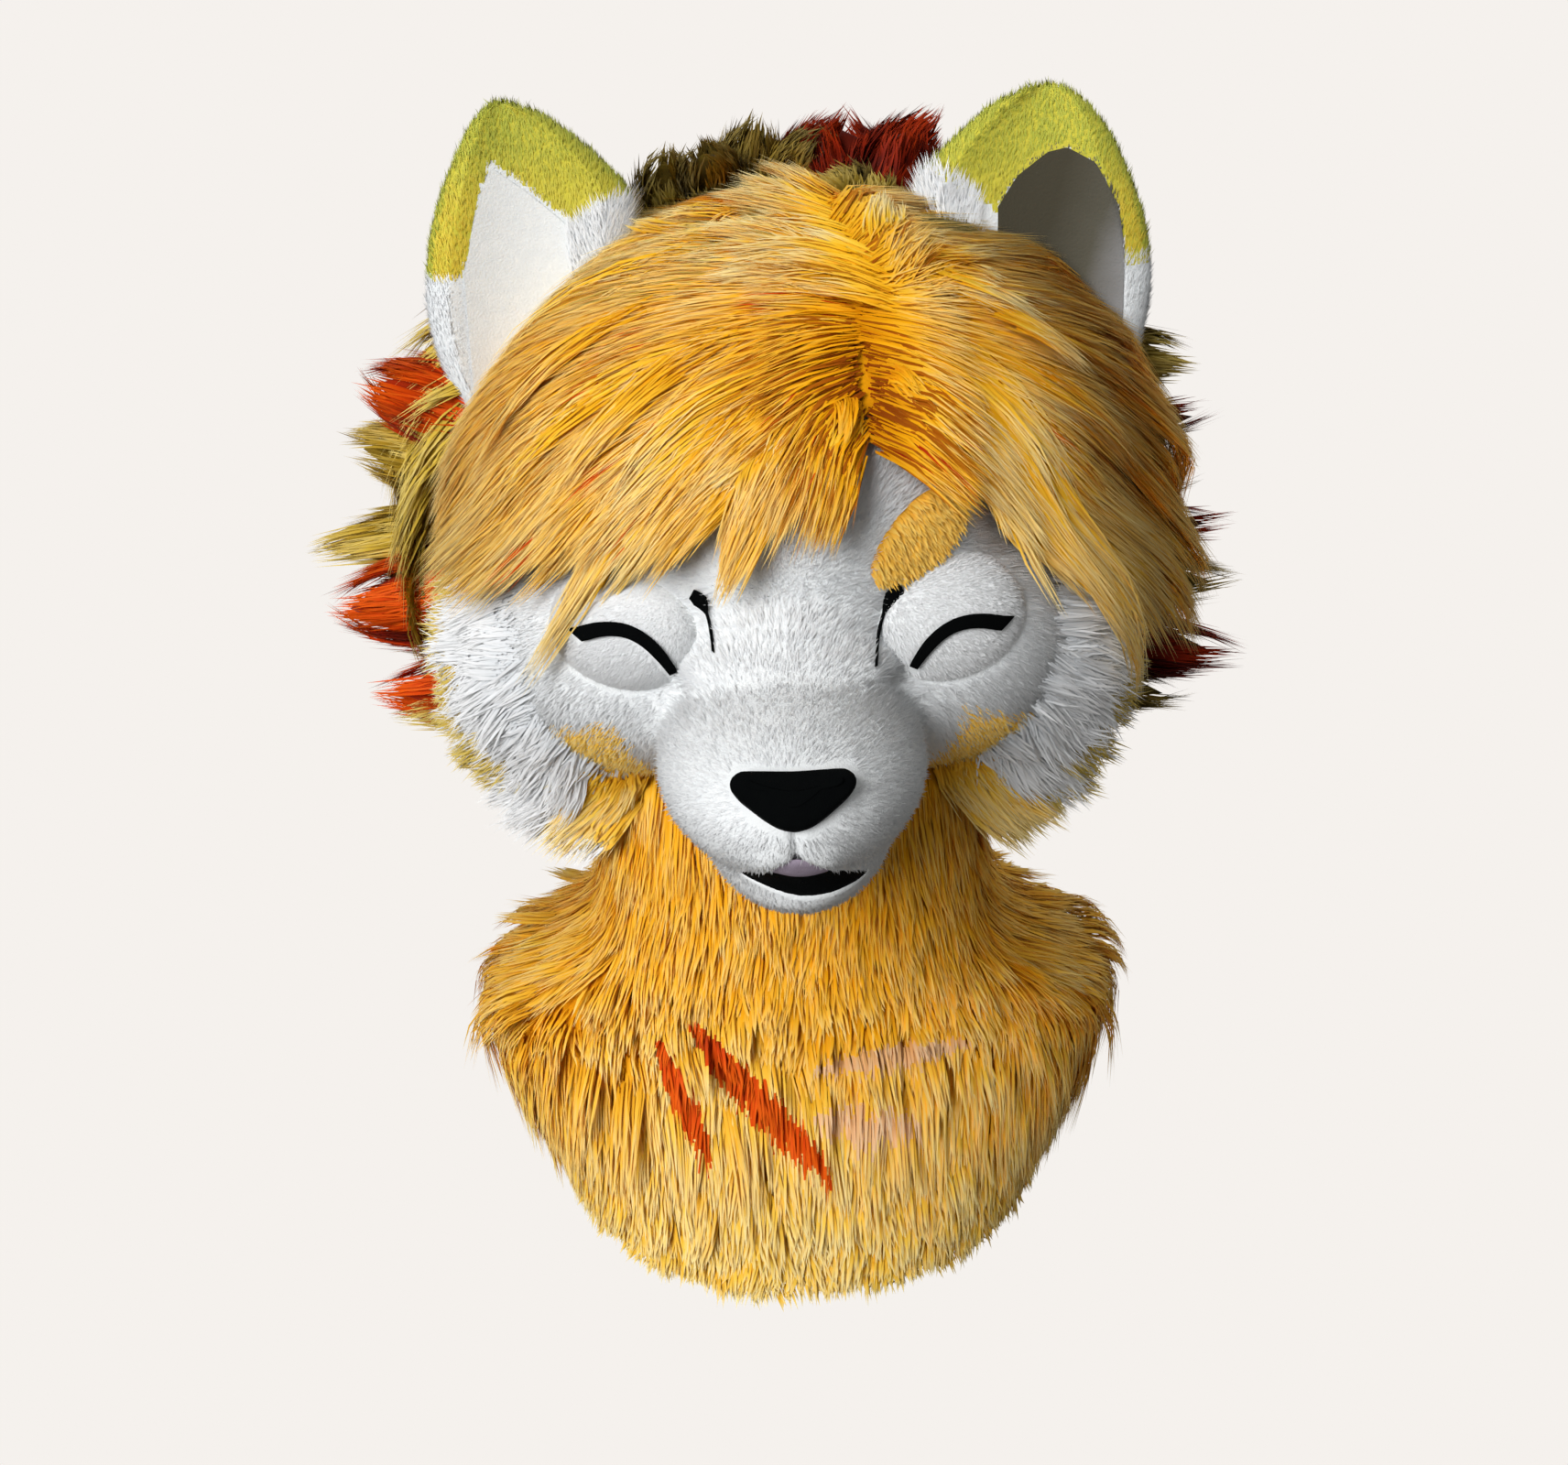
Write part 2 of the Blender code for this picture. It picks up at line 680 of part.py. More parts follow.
def ear_block(side):
    """The room that fur leaves free round an ear and its dish."""
    rings = []
    for row in EAR_ROWS:
        wide = row._replace(outer=row.outer + EAR_ROOM, inner=row.inner - EAR_ROOM)
        if row == EAR_ROWS[0]:
            wide = wide._replace(z=row.z - 8 * EAR_ROOM)
        if row == EAR_ROWS[-1]:
            wide = wide._replace(z=row.z + EAR_ROOM)
        front = []
        for u in EAR_BLOCK_COLUMNS:
            y = EAR_Y - row.depth / 2 * math.sqrt(1 - u * u) - EAR_ROOM
            front.append(Vector((ear_x(wide, u, side), y, wide.z)))
        rings.append(front + ear_back(wide, side, EAR_ROOM))
    return loft("ear_block", rings)


def build_ear(side, name):
    """A cupped foam ear: rounded at the back, and dished inside a thick rolled rim."""
    rings = []
    for row in EAR_ROWS:
        front = [Vector((ear_x(row, u, side), ear_front(row, u), row.z)) for u in EAR_COLUMNS]
        rings.append(front + ear_back(row, side))
    seat(loft("ear_" + name, rings, "lime"))
    rows = EAR_ROWS[:LINING_ROWS]
    grids = []
    for lift in (GAP + LINING_THICKNESS, GAP):
        grids.append(
            [
                [Vector((ear_x(r, u, side), ear_front(r, u) - lift, r.z)) for u in LINING_COLUMNS]
                for r in rows
            ]
        )
    seat(wall("ear_lining_" + name, grids[0], grids[1], colour="lining"))


# Fur


def blend_rows(rows, share):
    """A row part way along a table, with every column smoothed between its neighbours."""
    place = share * (len(rows) - 1)
    k = min(int(place), len(rows) - 2)
    t = place - k
    around = [rows[max(0, min(len(rows) - 1, k + d))] for d in (-1, 0, 1, 2)]
    values = []
    for before, here, there, after in zip(*around):
        values.append(
            here
            + 0.5 * t * (there - before)
            + t * t * (before - 2.5 * here + 2 * there - 0.5 * after)
            + t**3 * (1.5 * (here - there) + 0.5 * (after - before))
        )
    return type(rows[0])(*values)


def fur_cap(name, table, columns, rows, colour, closed=False):
    """Pile laid over the crown: one column for each azimuth, from its high to its low edge."""
    if closed:
        table += (table[0]._replace(azimuth=table[0].azimuth + 360),)
    outer = [[] for _ in range(rows)]
    inner = [[] for _ in range(rows)]
    for column in range(columns):
        edge = blend_rows(table, column / (columns if closed else columns - 1))
        for row in range(rows):
            t = row / (rows - 1)
            way = direction(edge.azimuth, edge.high + (edge.low - edge.high) * t)
            lift = edge.lift * t**2
            outer[row].append(on_head(way, lift + CAP_PILE * (1 - 0.7 * t**3)))
            inner[row].append(on_head(way, SEAT_LIFT + 0.5 * lift))
    return wall(name, outer, inner, closed, closed, colour)


def strand_way(strand, along, bow):
    root = direction(strand.root_az, strand.root_el)
    tip = direction(strand.tip_az, strand.tip_el)
    way = root.slerp(tip, min(along, 1.0)) + (tip - root) * max(along - 1, 0)
    rise = math.radians(bow) * math.sin(math.pi * min(along, 1))
    return (way + Vector((0, 0, rise))).normalized()


def combed_lock(strand):
    """A pointed leaf of fur combed over the head from a strand's root to its tip."""
    rings = []
    for t, width in COMBED_STATIONS:
        along = LOCK_START + (1 - LOCK_START) * t
        way = strand_way(strand, along, LOCK_BOW)
        ahead = strand_way(strand, along + 0.02, LOCK_BOW)
        across = way.cross(ahead - way).normalized()
        thin = 1 - 0.75 * t**3
        lift = strand.lift * along**2
        centre = on_head(way, lift + 0.5 * CAP_PILE * thin)
        if width == 0:
            point = centre
            continue
        half = strand.width / 2 * width
        above = (0.62 * CAP_PILE + 1) * thin
        below = (0.5 * CAP_PILE - SEAT_LIFT) * thin
        ring = [centre + across * half, centre + way * above]
        ring += [centre - across * half, centre - way * below]
        rings.append(ring)
    return leaf("combed_lock", rings, point)


def leaf(name, rings, point, colour=None):
    """A solid lofted through rings of equal length to a point."""
    bm = bmesh.new()
    loops = [[bm.verts.new(p) for p in ring] for ring in rings]
    count = len(rings[0])
    for low, high in zip(loops, loops[1:]):
        for k in range(count):
            n = (k + 1) % count
            bm.faces.new((low[k], low[n], high[n], high[k]))
    bm.faces.new(loops[0])
    end = bm.verts.new(point)
    for k in range(count):
        bm.faces.new((loops[-1][k], loops[-1][(k + 1) % count], end))
    return finish_mesh(bm, name, colour)


def fur_panel(name, table, locks, pile, colour, rows=6, side=1, swell=False):
    """Pile laid over the head in locks: ridges that end in points, with valleys between."""
    outer = [[] for _ in range(rows)]
    inner = [[] for _ in range(rows)]
    for column in range(2 * locks + 1):
        strand = blend_rows(table, column / (2 * locks))
        strand = strand._replace(root_az=side * strand.root_az, tip_az=side * strand.tip_az)
        ridge = column % 2
        reach = 1.06 if ridge else 0.88
        height = pile if ridge else pile * 0.5
        for row in range(rows):
            t = row / (rows - 1)
            full = 0.4 + 0.6 * math.sin(math.pi * min(t * 1.1, 1)) ** 0.5
            thin = 1 - t**4 * (0.8 if ridge else 0.6)
            rise = math.sin(math.pi * (0.08 + 0.84 * t)) ** 0.8 if swell else t * t
            lift = strand.lift * rise
            way = strand_way(strand, t * reach, 0)
            outer[row].append(on_head(way, lift + height * full * thin + 1))
            inner[row].append(on_head(way, SEAT_LIFT + (1 if swell else 0.5 * lift)))
    return wall(name, outer, inner, colour=colour)


def lock_solid(name, lock, colour=None):
    """A pointed leaf of fur that springs from the head and bends out to its tip."""
    way = direction(lock.base_az, lock.base_el)
    root = on_head(way, LOCK_CLEARANCE)
    tip = Vector((lock.tip_x, lock.tip_y, lock.tip_z))
    knee = root + way * (tip - root).length * 0.5
    across = (tip - root).cross(Vector((0, 1, 0))).normalized()
    rings = []
    for t, width in STANDING_STATIONS:
        centre = root * (1 - t) ** 2 + knee * 2 * t * (1 - t) + tip * t * t
        along = (knee - root) * (1 - t) + (tip - knee) * t
        thick = along.cross(across).normalized()
        half = lock.width / 2 * width
        flat = half * LOCK_FLATNESS
        ring = [centre + across * half, centre + thick * flat]
        ring += [centre - across * half, centre - thick * flat]
        rings.append(ring)
    return leaf(name, rings, tip, colour)


def bib_point(row, turn, out=0.0, drop=0.0):
    """A point of the bib. Turn 0 is the front and half a turn is the back."""
    a = 2 * math.pi * turn
    s = math.sin(a)
    c = math.cos(a)
    depth = row.front if c > 0 else row.back
    power = 2 / BIB_ROUNDNESS
    x = math.copysign(abs(s) ** power, s) * (row.half_width + out)
    y = -math.copysign(abs(c) ** power, c) * (depth + out)
    return Vector((x, y, row.z - drop))


def build_bib():
    """The neck tube and the bib as one fur wall, ridged in locks down to a ragged hem."""
    outer = []
    inner = []
    columns = 2 * BIB_LOCKS
    for k, row in enumerate(BIB_ROWS):
        share = k / (len(BIB_ROWS) - 1)
        above = BIB_ROWS[max(k - 1, 0)]
        below = BIB_ROWS[min(k + 1, len(BIB_ROWS) - 1)]
        slope = math.atan2(below.half_width - above.half_width, above.z - below.z)
        out = []
        into = []
        for c in range(columns):
            ridge = c % 2
            proud = BIB_RIDGE * share * (1 if ridge else -0.4)
            drop = BIB_LOCK_DROP * share**4 * (1 if ridge else -0.6)
            point = bib_point(row, c / columns, proud, drop)
            side = abs(math.sin(2 * math.pi * c / columns))
            lean = slope * side
            taper = 1 - 0.75 * share**6
            depth = BIB_THICKNESS * taper
            out.append(point)
            into.append(
                bib_point(row, c / columns, -depth * math.cos(lean), drop + depth * math.sin(lean))
            )
        outer.append(out)
        inner.append(into)
    bib = wall("bib", outer, inner, closed=True, colour="yellow")
    boolean(bib, head_solid("head_cutter", GAP), "DIFFERENCE")
    return bib


def build_all():
    build_head_shell()
    build_mouth()
    build_nose()
    eyes = build_eye(-1, "left") + build_eye(1, "right")
    brow = build_brow(eyes)
    for side, name in ((-1, "left"), (1, "right")):
        build_ear(side, name)
    bib = build_bib()

    bangs = []
    for name, table, locks, columns, closed in (
        ("left", CAP_LEFT, LOCKS_LEFT, 20, True),
        ("right", CAP_RIGHT, LOCKS_RIGHT, 12, False),
    ):
        fringe = fur_cap("bangs_" + name, table, columns, 5, "yellow", closed)
        for strand in locks:
            boolean(fringe, combed_lock(strand), "UNION", "MANIFOLD")
        clear_of(fringe, *eyes, brow, *bangs)
        free_ears(fringe)
        bangs.append(fringe)

    cheeks = []
    for name, side in (("left", -1), ("right", 1)):
        cheek = fur_panel("cheek_fur_" + name, CHEEK, 7, 12, "white", side=side)
        clear_of(cheek, *bangs, *eyes, bib)
        cheeks.append(cheek)

    reds = []
    for name, lock in RED_LOCKS.items():
        red = lock_solid(name, lock, "red")
        free_ears(red)
        reds.append(clear_of(red, *bangs, *cheeks, *reds))

    mane = fur_panel("mane", MANE, 11, 15, "yellow", rows=7, swell=True)
    for lock in YELLOW_LOCKS:
        boolean(mane, lock_solid("mane_lock", lock), "UNION", "MANIFOLD")
    clear_of(mane, *bangs, *cheeks, bib, *reds)
    free_ears(mane)


def shade():
    """Smooth shading, with an edge only where the surface really turns."""
    for piece in collection(PIECES).objects:
        piece.data.shade_smooth()
        piece.data.set_sharp_from_angle(angle=math.radians(SMOOTH_BELOW))


for old in list(bpy.data.objects):
    bpy.data.objects.remove(old)
build_all()
shade()
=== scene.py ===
"""Looks of the fursuit head: plush and fleece skins, combed long fur and felt trim."""

import math
from collections import namedtuple

import bmesh
import bpy
import numpy as np
from mathutils import Matrix, Vector
from mathutils.kdtree import KDTree


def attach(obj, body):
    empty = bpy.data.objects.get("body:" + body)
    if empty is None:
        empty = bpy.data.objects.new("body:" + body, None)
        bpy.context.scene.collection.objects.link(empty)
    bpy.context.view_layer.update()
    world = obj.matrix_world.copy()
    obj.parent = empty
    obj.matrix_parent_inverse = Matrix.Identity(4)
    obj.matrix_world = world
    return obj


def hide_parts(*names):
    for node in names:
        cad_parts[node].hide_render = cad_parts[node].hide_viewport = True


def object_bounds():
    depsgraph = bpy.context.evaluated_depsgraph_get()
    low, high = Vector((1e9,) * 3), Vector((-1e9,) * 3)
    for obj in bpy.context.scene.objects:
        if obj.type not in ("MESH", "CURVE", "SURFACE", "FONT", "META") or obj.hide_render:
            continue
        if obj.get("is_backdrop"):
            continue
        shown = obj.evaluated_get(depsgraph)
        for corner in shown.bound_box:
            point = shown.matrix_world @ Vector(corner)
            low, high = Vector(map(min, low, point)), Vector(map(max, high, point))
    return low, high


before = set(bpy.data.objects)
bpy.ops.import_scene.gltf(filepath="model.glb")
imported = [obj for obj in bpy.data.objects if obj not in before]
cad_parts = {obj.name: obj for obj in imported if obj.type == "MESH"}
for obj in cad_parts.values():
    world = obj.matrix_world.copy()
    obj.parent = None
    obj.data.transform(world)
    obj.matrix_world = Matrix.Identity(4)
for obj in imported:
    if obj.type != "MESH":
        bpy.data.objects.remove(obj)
cad_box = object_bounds()

# Lengths are in millimetres until a mesh is made.
MM = 0.001
# The sign of x on each side, as seen from the front.
SIDES = ((-1, "left"), (1, "right"))
rng = np.random.default_rng(5)

# Foam head: overlapping ellipsoids, blended outwards from one inner point.
HEAD_CENTRE = np.array((0, -5, -95), float)
BLEND_POWER = 14
HEAD_FORMS = {
    "cranium": ((0, 8, -70), (122, 148, 118)),
    "left cheek": ((-62, -45, -135), (80, 88, 66)),
    "right cheek": ((62, -45, -135), (80, 88, 66)),
    "muzzle": ((0, -158, -160), (57, 82, 39)),
    "chin": ((0, -140, -186), (40, 70, 31)),
    "brow": ((0, -70, -75), (92, 70, 50)),
}
# The same forms as they show under the plush: a rounder chin and a filled bridge.
SKIN_FORMS = dict(
    HEAD_FORMS,
    chin=((2, -146, -189), (41, 74, 34)),
    bridge=((0, -112, -112), (42, 40, 24)),
    saddle=((0, -134, -124), (46, 31, 17)),
)
SKIN_BLEND = 12
SKIN_VOXEL = 5.4
HOLLOW_CENTRE = (0, 0, -112)
HOLLOW_RADII = (98, 120, 112)
NECK_HOLE_RADII = (84, 92)

EarRow = namedtuple("EarRow", "z outer inner depth")
EAR_ROWS = (
    EarRow(-48, 146, 98, 34),
    EarRow(-20, 161, 84, 36),
    EarRow(10, 167, 73, 36),
    EarRow(40, 164, 67, 33),
    EarRow(62, 157, 67, 29),
    EarRow(77, 150, 79, 25),
    EarRow(88, 144, 91, 21),
    EarRow(97, 138, 103, 17),
    EarRow(103, 131, 117, 12),
    EarRow(104.5, 125, 123, 2),
)
EAR_ROWS_RIGHT = tuple(
    row._replace(outer=row.outer + spread)
    for row, spread in zip(EAR_ROWS, (12, 12, 12, 12, 11, 11, 10, 8, 6, 3))
)
# Where the coloured band of each ear ends: distances from the middle, then heights.
EAR_BANDS = {
    -1: ((66, 82, 95, 113, 131, 138, 148, 180), (62, 57.6, 48.7, 64.4, 78, 61.8, 25.6, 25.4)),
    1: ((66, 84, 104, 114, 128, 137, 150, 161, 165, 190), (72, 66, 51.4, 66.6, 77, 79, 72, 52, 28, 28)),
}
EAR_Y = 6
EAR_DEPTH = 36
EAR_DISH = 13
EAR_DISH_SHARE = 0.74

NOSE_CENTRE = np.array((0, -233, -146), float)
NOSE_TILT = 28
NOSE_HALF_WIDTH = 26.5
NOSE_HEIGHT = 25
NOSE_THICKNESS = 17
NOSE_PROFILE = (
    (-0.82, 0.5),
    (0.0, 0.46),
    (0.82, 0.5),
    (1.0, 0.3),
    (0.86, 0.05),
    (0.42, -0.34),
    (0.16, -0.5),
    (-0.16, -0.5),
    (-0.42, -0.34),
    (-0.86, 0.05),
    (-1.0, 0.3),
)
EYE_CENTRE = (70, -117, -111)
EYE_RADII = (37, 24, 31)
EYE_TURN = 20
EYE_LINES = {
    -1: ((91, -107.5), (74, -98), (60, -102), (50.5, -124)),
    1: ((94.5, -109.5), (78, -100.5), (64, -103.5), (54.5, -124.5)),
}
EYE_CORNERS = {
    -1: ((41, -88.5), (36, -91), (33.5, -98), (32.5, -112)),
    1: ((50, -90), (44, -92.5), (40.5, -102), (37.5, -119)),
}
BROW_CENTRE = (56, -69)
BROW_HALF_LENGTH = 24
BROW_HALF_WIDTH = 12.5
BROW_FLARE = 2.5
BROW_TURN = 38
# Marks on the face lie in front of this y, and pile stays this far from a felt strip's middle.
FRONT_Y = -60
FELT_REACH = 3.4
# Outlines (x, z) of the open smile and of the tongue in the notch above it.
MOUTH_RING = (
    (-22.8, -187.6),
    (-17, -181.8),
    (-11.4, -178.6),
    (0.5, -178.6),
    (14.3, -180.6),
    (22.5, -186.5),
    (30.6, -194.6),
    (18.6, -196.4),
    (3.6, -196),
    (-11.8, -191.8),
)
TONGUE_RING = (
    (-10.8, -178.4),
    (-5.8, -172.6),
    (0.8, -170.2),
    (7.9, -173.4),
    (14, -180.2),
    (7.5, -182.6),
    (0.6, -182.8),
    (-5.5, -181.2),
)

# Lower and upper edge of each fur cap by azimuth, in degrees round the head's centre.
CapEdge = namedtuple("CapEdge", "azimuth low high lift")
CAP_LEFT = (
    CapEdge(-120, 64, 88, 12),
    CapEdge(-104, 57, 88, 12),
    CapEdge(-99, 42, 88, 16),
    CapEdge(-94.5, 14, 88, 34),
    CapEdge(-88, 5, 88, 33),
    CapEdge(-79, 4, 88, 26),
    CapEdge(-68, 2, 88, 16),
    CapEdge(-54, 0, 88, 8),
    CapEdge(-40, 4, 88, 5),
    CapEdge(-24, 11, 88, 5),
    CapEdge(-10, 10, 88, 5),
    CapEdge(0, 18, 88, 5),
    CapEdge(8, 26, 88, 4),
    CapEdge(15, 32, 88, 4),
    CapEdge(20, 52, 88, 4),
    CapEdge(30, 66, 88, 4),
    CapEdge(60, 76, 88, 6),
    CapEdge(110, 74, 88, 10),
    CapEdge(160, 68, 88, 14),
    CapEdge(210, 66, 88, 14),
    CapEdge(240, 64, 88, 12),
)
CAP_RIGHT = (
    CapEdge(16.5, 29, 32, 3),
    CapEdge(21, 29, 50, 4),
    CapEdge(30, 24, 63, 5),
    CapEdge(42, 13, 70, 8),
    CapEdge(52, 4, 73, 10),
    CapEdge(60, -8, 74, 14),
    CapEdge(70, -14, 74, 26),
    CapEdge(79, -14, 74, 40),
    CapEdge(87, -10, 74, 46),
    CapEdge(94.5, 4, 74, 44),
    CapEdge(99, 38, 74, 26),
    CapEdge(105, 56, 74, 14),
)
CAP_PILE = 14

# Locks of the fringe, from root to tip. Lift is how far the tip stands off the head.
Strand = namedtuple("Strand", "root_az root_el tip_az tip_el lift width", defaults=(0,))
LOCKS_LEFT = (
    Strand(178, 80, -98, 60, 4, 38),
    Strand(60, 84, -84, 52, 4, 38),
    Strand(24, 68, -84, 30, 12, 38),
    Strand(21, 60, -83, 12, 32, 36),
    Strand(18, 53, -74, 0, 28, 34),
    Strand(15, 46, -43, -12, 14, 30),
    Strand(16, 49, -62, -6, 14, 28),
    Strand(14, 42, -50, -3, 13, 26),
    Strand(14, 40, -38, 1, 12, 26),
    Strand(13, 38, -24, 4, 12, 26),
    Strand(13, 36, -11, 2, 13, 26),
    Strand(13, 34, -1, 14, 11, 23),
    Strand(12, 36, 8, 23, 9, 20),
)
LOCKS_RIGHT = (
    Strand(60, 70, 68, 58, 20, 34),
    Strand(50, 68, 84, 46, 34, 38),
    Strand(40, 65, 84, 30, 48, 40),
    Strand(34, 60, 89, 12, 64, 40),
    Strand(29, 56, 90, -4, 68, 40),
    Strand(26, 51, 87, -18, 58, 36),
    Strand(24, 47, 69, -25, 34, 34),
    Strand(23, 44, 58, -9, 14, 26),
    Strand(22, 42, 50, 9, 12, 24),
    Strand(21, 40, 39, 23, 10, 20),
    Strand(20, 38, 28, 30, 8, 14),
    Strand(44, 56, 58, 70, 26, 20),
)
LOCKS_CROWN = (
    Strand(178, 80, -98, 60, 6, 38),
    Strand(60, 84, -84, 60, 6, 38),
    Strand(120, 84, 100, 56, 16, 38),
    Strand(150, 84, 140, 46, 16, 40),
    Strand(180, 84, 180, 44, 16, 40),
    Strand(-150, 84, -140, 46, 16, 40),
    Strand(-110, 84, -116, 52, 18, 40),
)
TUFTS_CROWN = (
    Strand(46, 44, -40, 60, 12, 24),
    Strand(52, 50, -44, 68, 16, 26),
    Strand(60, 54, -50, 76, 20, 26),
    Strand(72, 58, -80, 82, 24, 28),
    Strand(84, 60, -140, 84, 26, 28),
    Strand(98, 62, -160, 80, 22, 28),
    Strand(20, 64, -66, 62, 10, 26),
    Strand(10, 70, -84, 64, 12, 28),
    Strand(0, 66, -80, 56, 10, 26),
    Strand(-20, 72, -104, 62, 14, 28),
    Strand(-30, 64, -92, 50, 10, 26),
)
# The parting, from the brow back over the crown: azimuth and elevation.
PARTING = (
    (15.2, 29),
    (16.4, 33),
    (18.5, 41),
    (21, 50),
    (25, 57),
    (30, 63),
    (38, 68),
    (50, 72.5),
    (66, 74),
    (84, 74.5),
    (104, 74),
)
LOCK_BOW = 5

# Fur panels: the first and last rows of laid pile.
CHEEK = (
    Strand(64, 0, 92, -10, 30),
    Strand(57, -8, 92, -20, 36),
    Strand(52, -18, 92, -32, 53),
    Strand(49, -28, 85, -43, 62),
    Strand(45, -36, 73, -50, 63),
    Strand(41, -42, 62, -54, 64),
)
MANE = (
    Strand(92, 24, 92, -32, 50),
    Strand(107, 48, 106, -38, 62),
    Strand(137, 60, 134, -40, 30),
    Strand(180, 60, 180, -42, 18),
    Strand(223, 60, 226, -40, 30),
    Strand(253, 48, 254, -38, 66),
    Strand(268, 24, 268, -32, 54),
)

# Locks that stand out of the mane: base direction in degrees, tip point, width.
Lock = namedtuple("Lock", "base_az base_el tip_x tip_y tip_z width")
RED_LOCKS = {
    "red_lock_left_top": Lock(-97, 19, -209, 20, -22, 52),
    "red_lock_left_middle": Lock(-97, -14, -240, 24, -144, 60),
    "red_lock_left_low": Lock(-101, -31, -224, 30, -193, 46),
    "red_lock_right_top": Lock(104, 10, 224, 44, -60, 28),
    "red_lock_right_middle": Lock(104, -6, 238, 56, -123, 26),
    "red_lock_right_low": Lock(104, -26, 246, 42, -191, 44),
    "red_lock_crest_middle": Lock(172, 54, 38, 86, 90, 48),
    "red_lock_crest_right": Lock(150, 50, 84, 80, 86, 42),
}
YELLOW_LOCKS = (
    Lock(-99, 9, -223, 28, -58, 48),
    Lock(-102, -4, -249, 38, -120, 44),
    Lock(-104, -22, -212, 34, -166, 44),
    Lock(-104, -33, -214, 30, -208, 46),
    Lock(-104, -37, -184, 24, -232, 46),
)
# Yellow locks of the right side and the crest, drawn darker as painted shade.
SHADED_MANE_LOCKS = (
    Lock(104, 24, 212, 38, -34, 42),
    Lock(104, 2, 214, 38, -92, 42),
    Lock(104, -16, 240, 44, -150, 40),
    Lock(104, -34, 216, 30, -210, 34),
    Lock(104, -37, 182, 24, -221, 32),
    Lock(-172, 56, -6, 64, 92, 44),
    Lock(-148, 54, -52, 50, 78, 36),
    Lock(168, 62, 24, 40, 84, 46),
    Lock(-160, 60, -34, 36, 80, 42),
    Lock(110, 76, 20, 16, 66, 34),
    Lock(100, 72, 46, 14, 66, 34),
)
# Red locks of the crest, drawn in the darker red as painted shade.
CREST_LOCKS = (
    Lock(140, 66, 30, 48, 91, 46),
    Lock(120, 68, 66, 34, 90, 46),
    Lock(130, 66, 82, 56, 90, 40),
)
LOCK_CLEARANCE = 7

# Bib: one row for each level of the fur's outer surface.
BibRow = namedtuple("BibRow", "z half_width front back")
BIB_ROWS = (
    BibRow(-176, 97, 105, 98),
    BibRow(-215, 98, 108, 100),
    BibRow(-262, 101, 111, 103),
    BibRow(-300, 109, 114, 106),
    BibRow(-324, 142, 118, 112),
    BibRow(-342, 168, 122, 116),
    BibRow(-364, 168, 127, 118),
    BibRow(-400, 153, 132, 119),
    BibRow(-438, 135, 135, 118),
    BibRow(-462, 120, 134, 114),
)
BIB_ROUNDNESS = 2.3

# Slashes in the bib's front: top and bottom points (x, z) and half width.
Slash = namedtuple("Slash", "x1 z1 x2 z2 half_width")
SLASHES = (Slash(-69, -318, -46, -388, 6), Slash(-53, -310, 14, -400, 9))
PEACH_STREAKS = (Slash(3, -336, 84, -326, 6), Slash(6, -362, 60, -372, 9))
SLASH_DEPTH = -130
SLASH_SLOPE = 0.404

# Fur finishes: deep and pale colours from root to tip. Each has its own strip of the map.
Fur = namedtuple("Fur", "deep pale")
FURS = {
    "wig": Fur(("dc8800", "f8aa00", "fcc424"), ("f8b408", "ffd040", "fff4c0")),
    "shade": Fur(("8c3c00", "ac5800", "c87804"), ("b06408", "cc8414", "e0a840")),
    "mane": Fur(("6e540c", "b48e1c", "d4b440"), ("a88420", "dcbc48", "f0dc8c")),
    # Painted shade: the mane's yellow darkened as it looks in shadow, for the crest and the right side.
    "olive": Fur(("4a3a08", "7c6416", "a48c38"), ("6c5818", "a48c38", "d4c078")),
    "red": Fur(("7a1402", "b42c04", "e04806"), ("c43c06", "ee5406", "f87818")),
    # Painted shade: the red darkened as it looks in shadow, for the crest and the right side's red locks.
    "crest": Fur(("3c0802", "6c1404", "902006"), ("641204", "942406", "b83c0c")),
    "white": Fur(("d8dde0", "e8ebed", "f0f2f2"), ("e6e9ec", "f2f3f4", "fafafa")),
    "bib": Fur(("dc8800", "f8aa00", "fec42c"), ("f6b81c", "ffd454", "fff4bc")),
    # Painted shadow: dark grey for the nap in the right ear's hollow.
    "grey": Fur(("4c4a40", "5c5a52", "66645c"), ("54524a", "64625a", "6e6c66")),
    "lime": Fur(("9ca838", "b8c04c", "c4cc60"), ("e0c838", "eed248", "f4dc60")),
    "brow": Fur(("eca62c", "ffbe40", "ffca58"), ("f8b840", "ffd060", "ffe080")),
    "peach": Fur(("d89a50", "eab074", "f4cc9c"), ("e8b06c", "f4c48c", "fce0bc")),
}

# How clumps are filled: strands, points along each, where on the clump they start and end,
# how deep the roots go, how far the tip closes and how loose it is.
Fill = namedtuple("Fill", "number steps starts ends sink pinch frizz")
FILLS = {
    "fringe": Fill(38, 3, (0, 0.22), (0.6, 1.0), 2, 0.35, 1.6),
    "fringe_lock": Fill(36, 4, (0, 0.5), (0.66, 1.0), 2, 0.6, 1.5),
    "cheek": Fill(46, 3, (0, 0.25), (0.6, 1.0), 2, 0.45, 2.2),
    "mane": Fill(40, 3, (0, 0.3), (0.62, 1.0), 3, 0.5, 2.4),
    "standing": Fill(32, 3, (0, 0.3), (0.6, 1.0), 2, 0.55, 1.6),
    "bib_long_fur": Fill(31, 3, (0, 0.35), (0.55, 1.0), 2, 0.3, 1.4),
    "bib_marked_fur": Fill(31, 5, (0, 0.35), (0.55, 1.0), 2, 0.3, 1.4),
}


def unit(v):
    return v / np.maximum(np.linalg.norm(v, axis=-1, keepdims=True), 1e-9)


def direction(azimuth, elevation):
    a = np.radians(azimuth)
    e = np.radians(elevation)
    return np.stack((np.sin(a) * np.cos(e), -np.cos(a) * np.cos(e), np.sin(e) + 0 * a), -1)


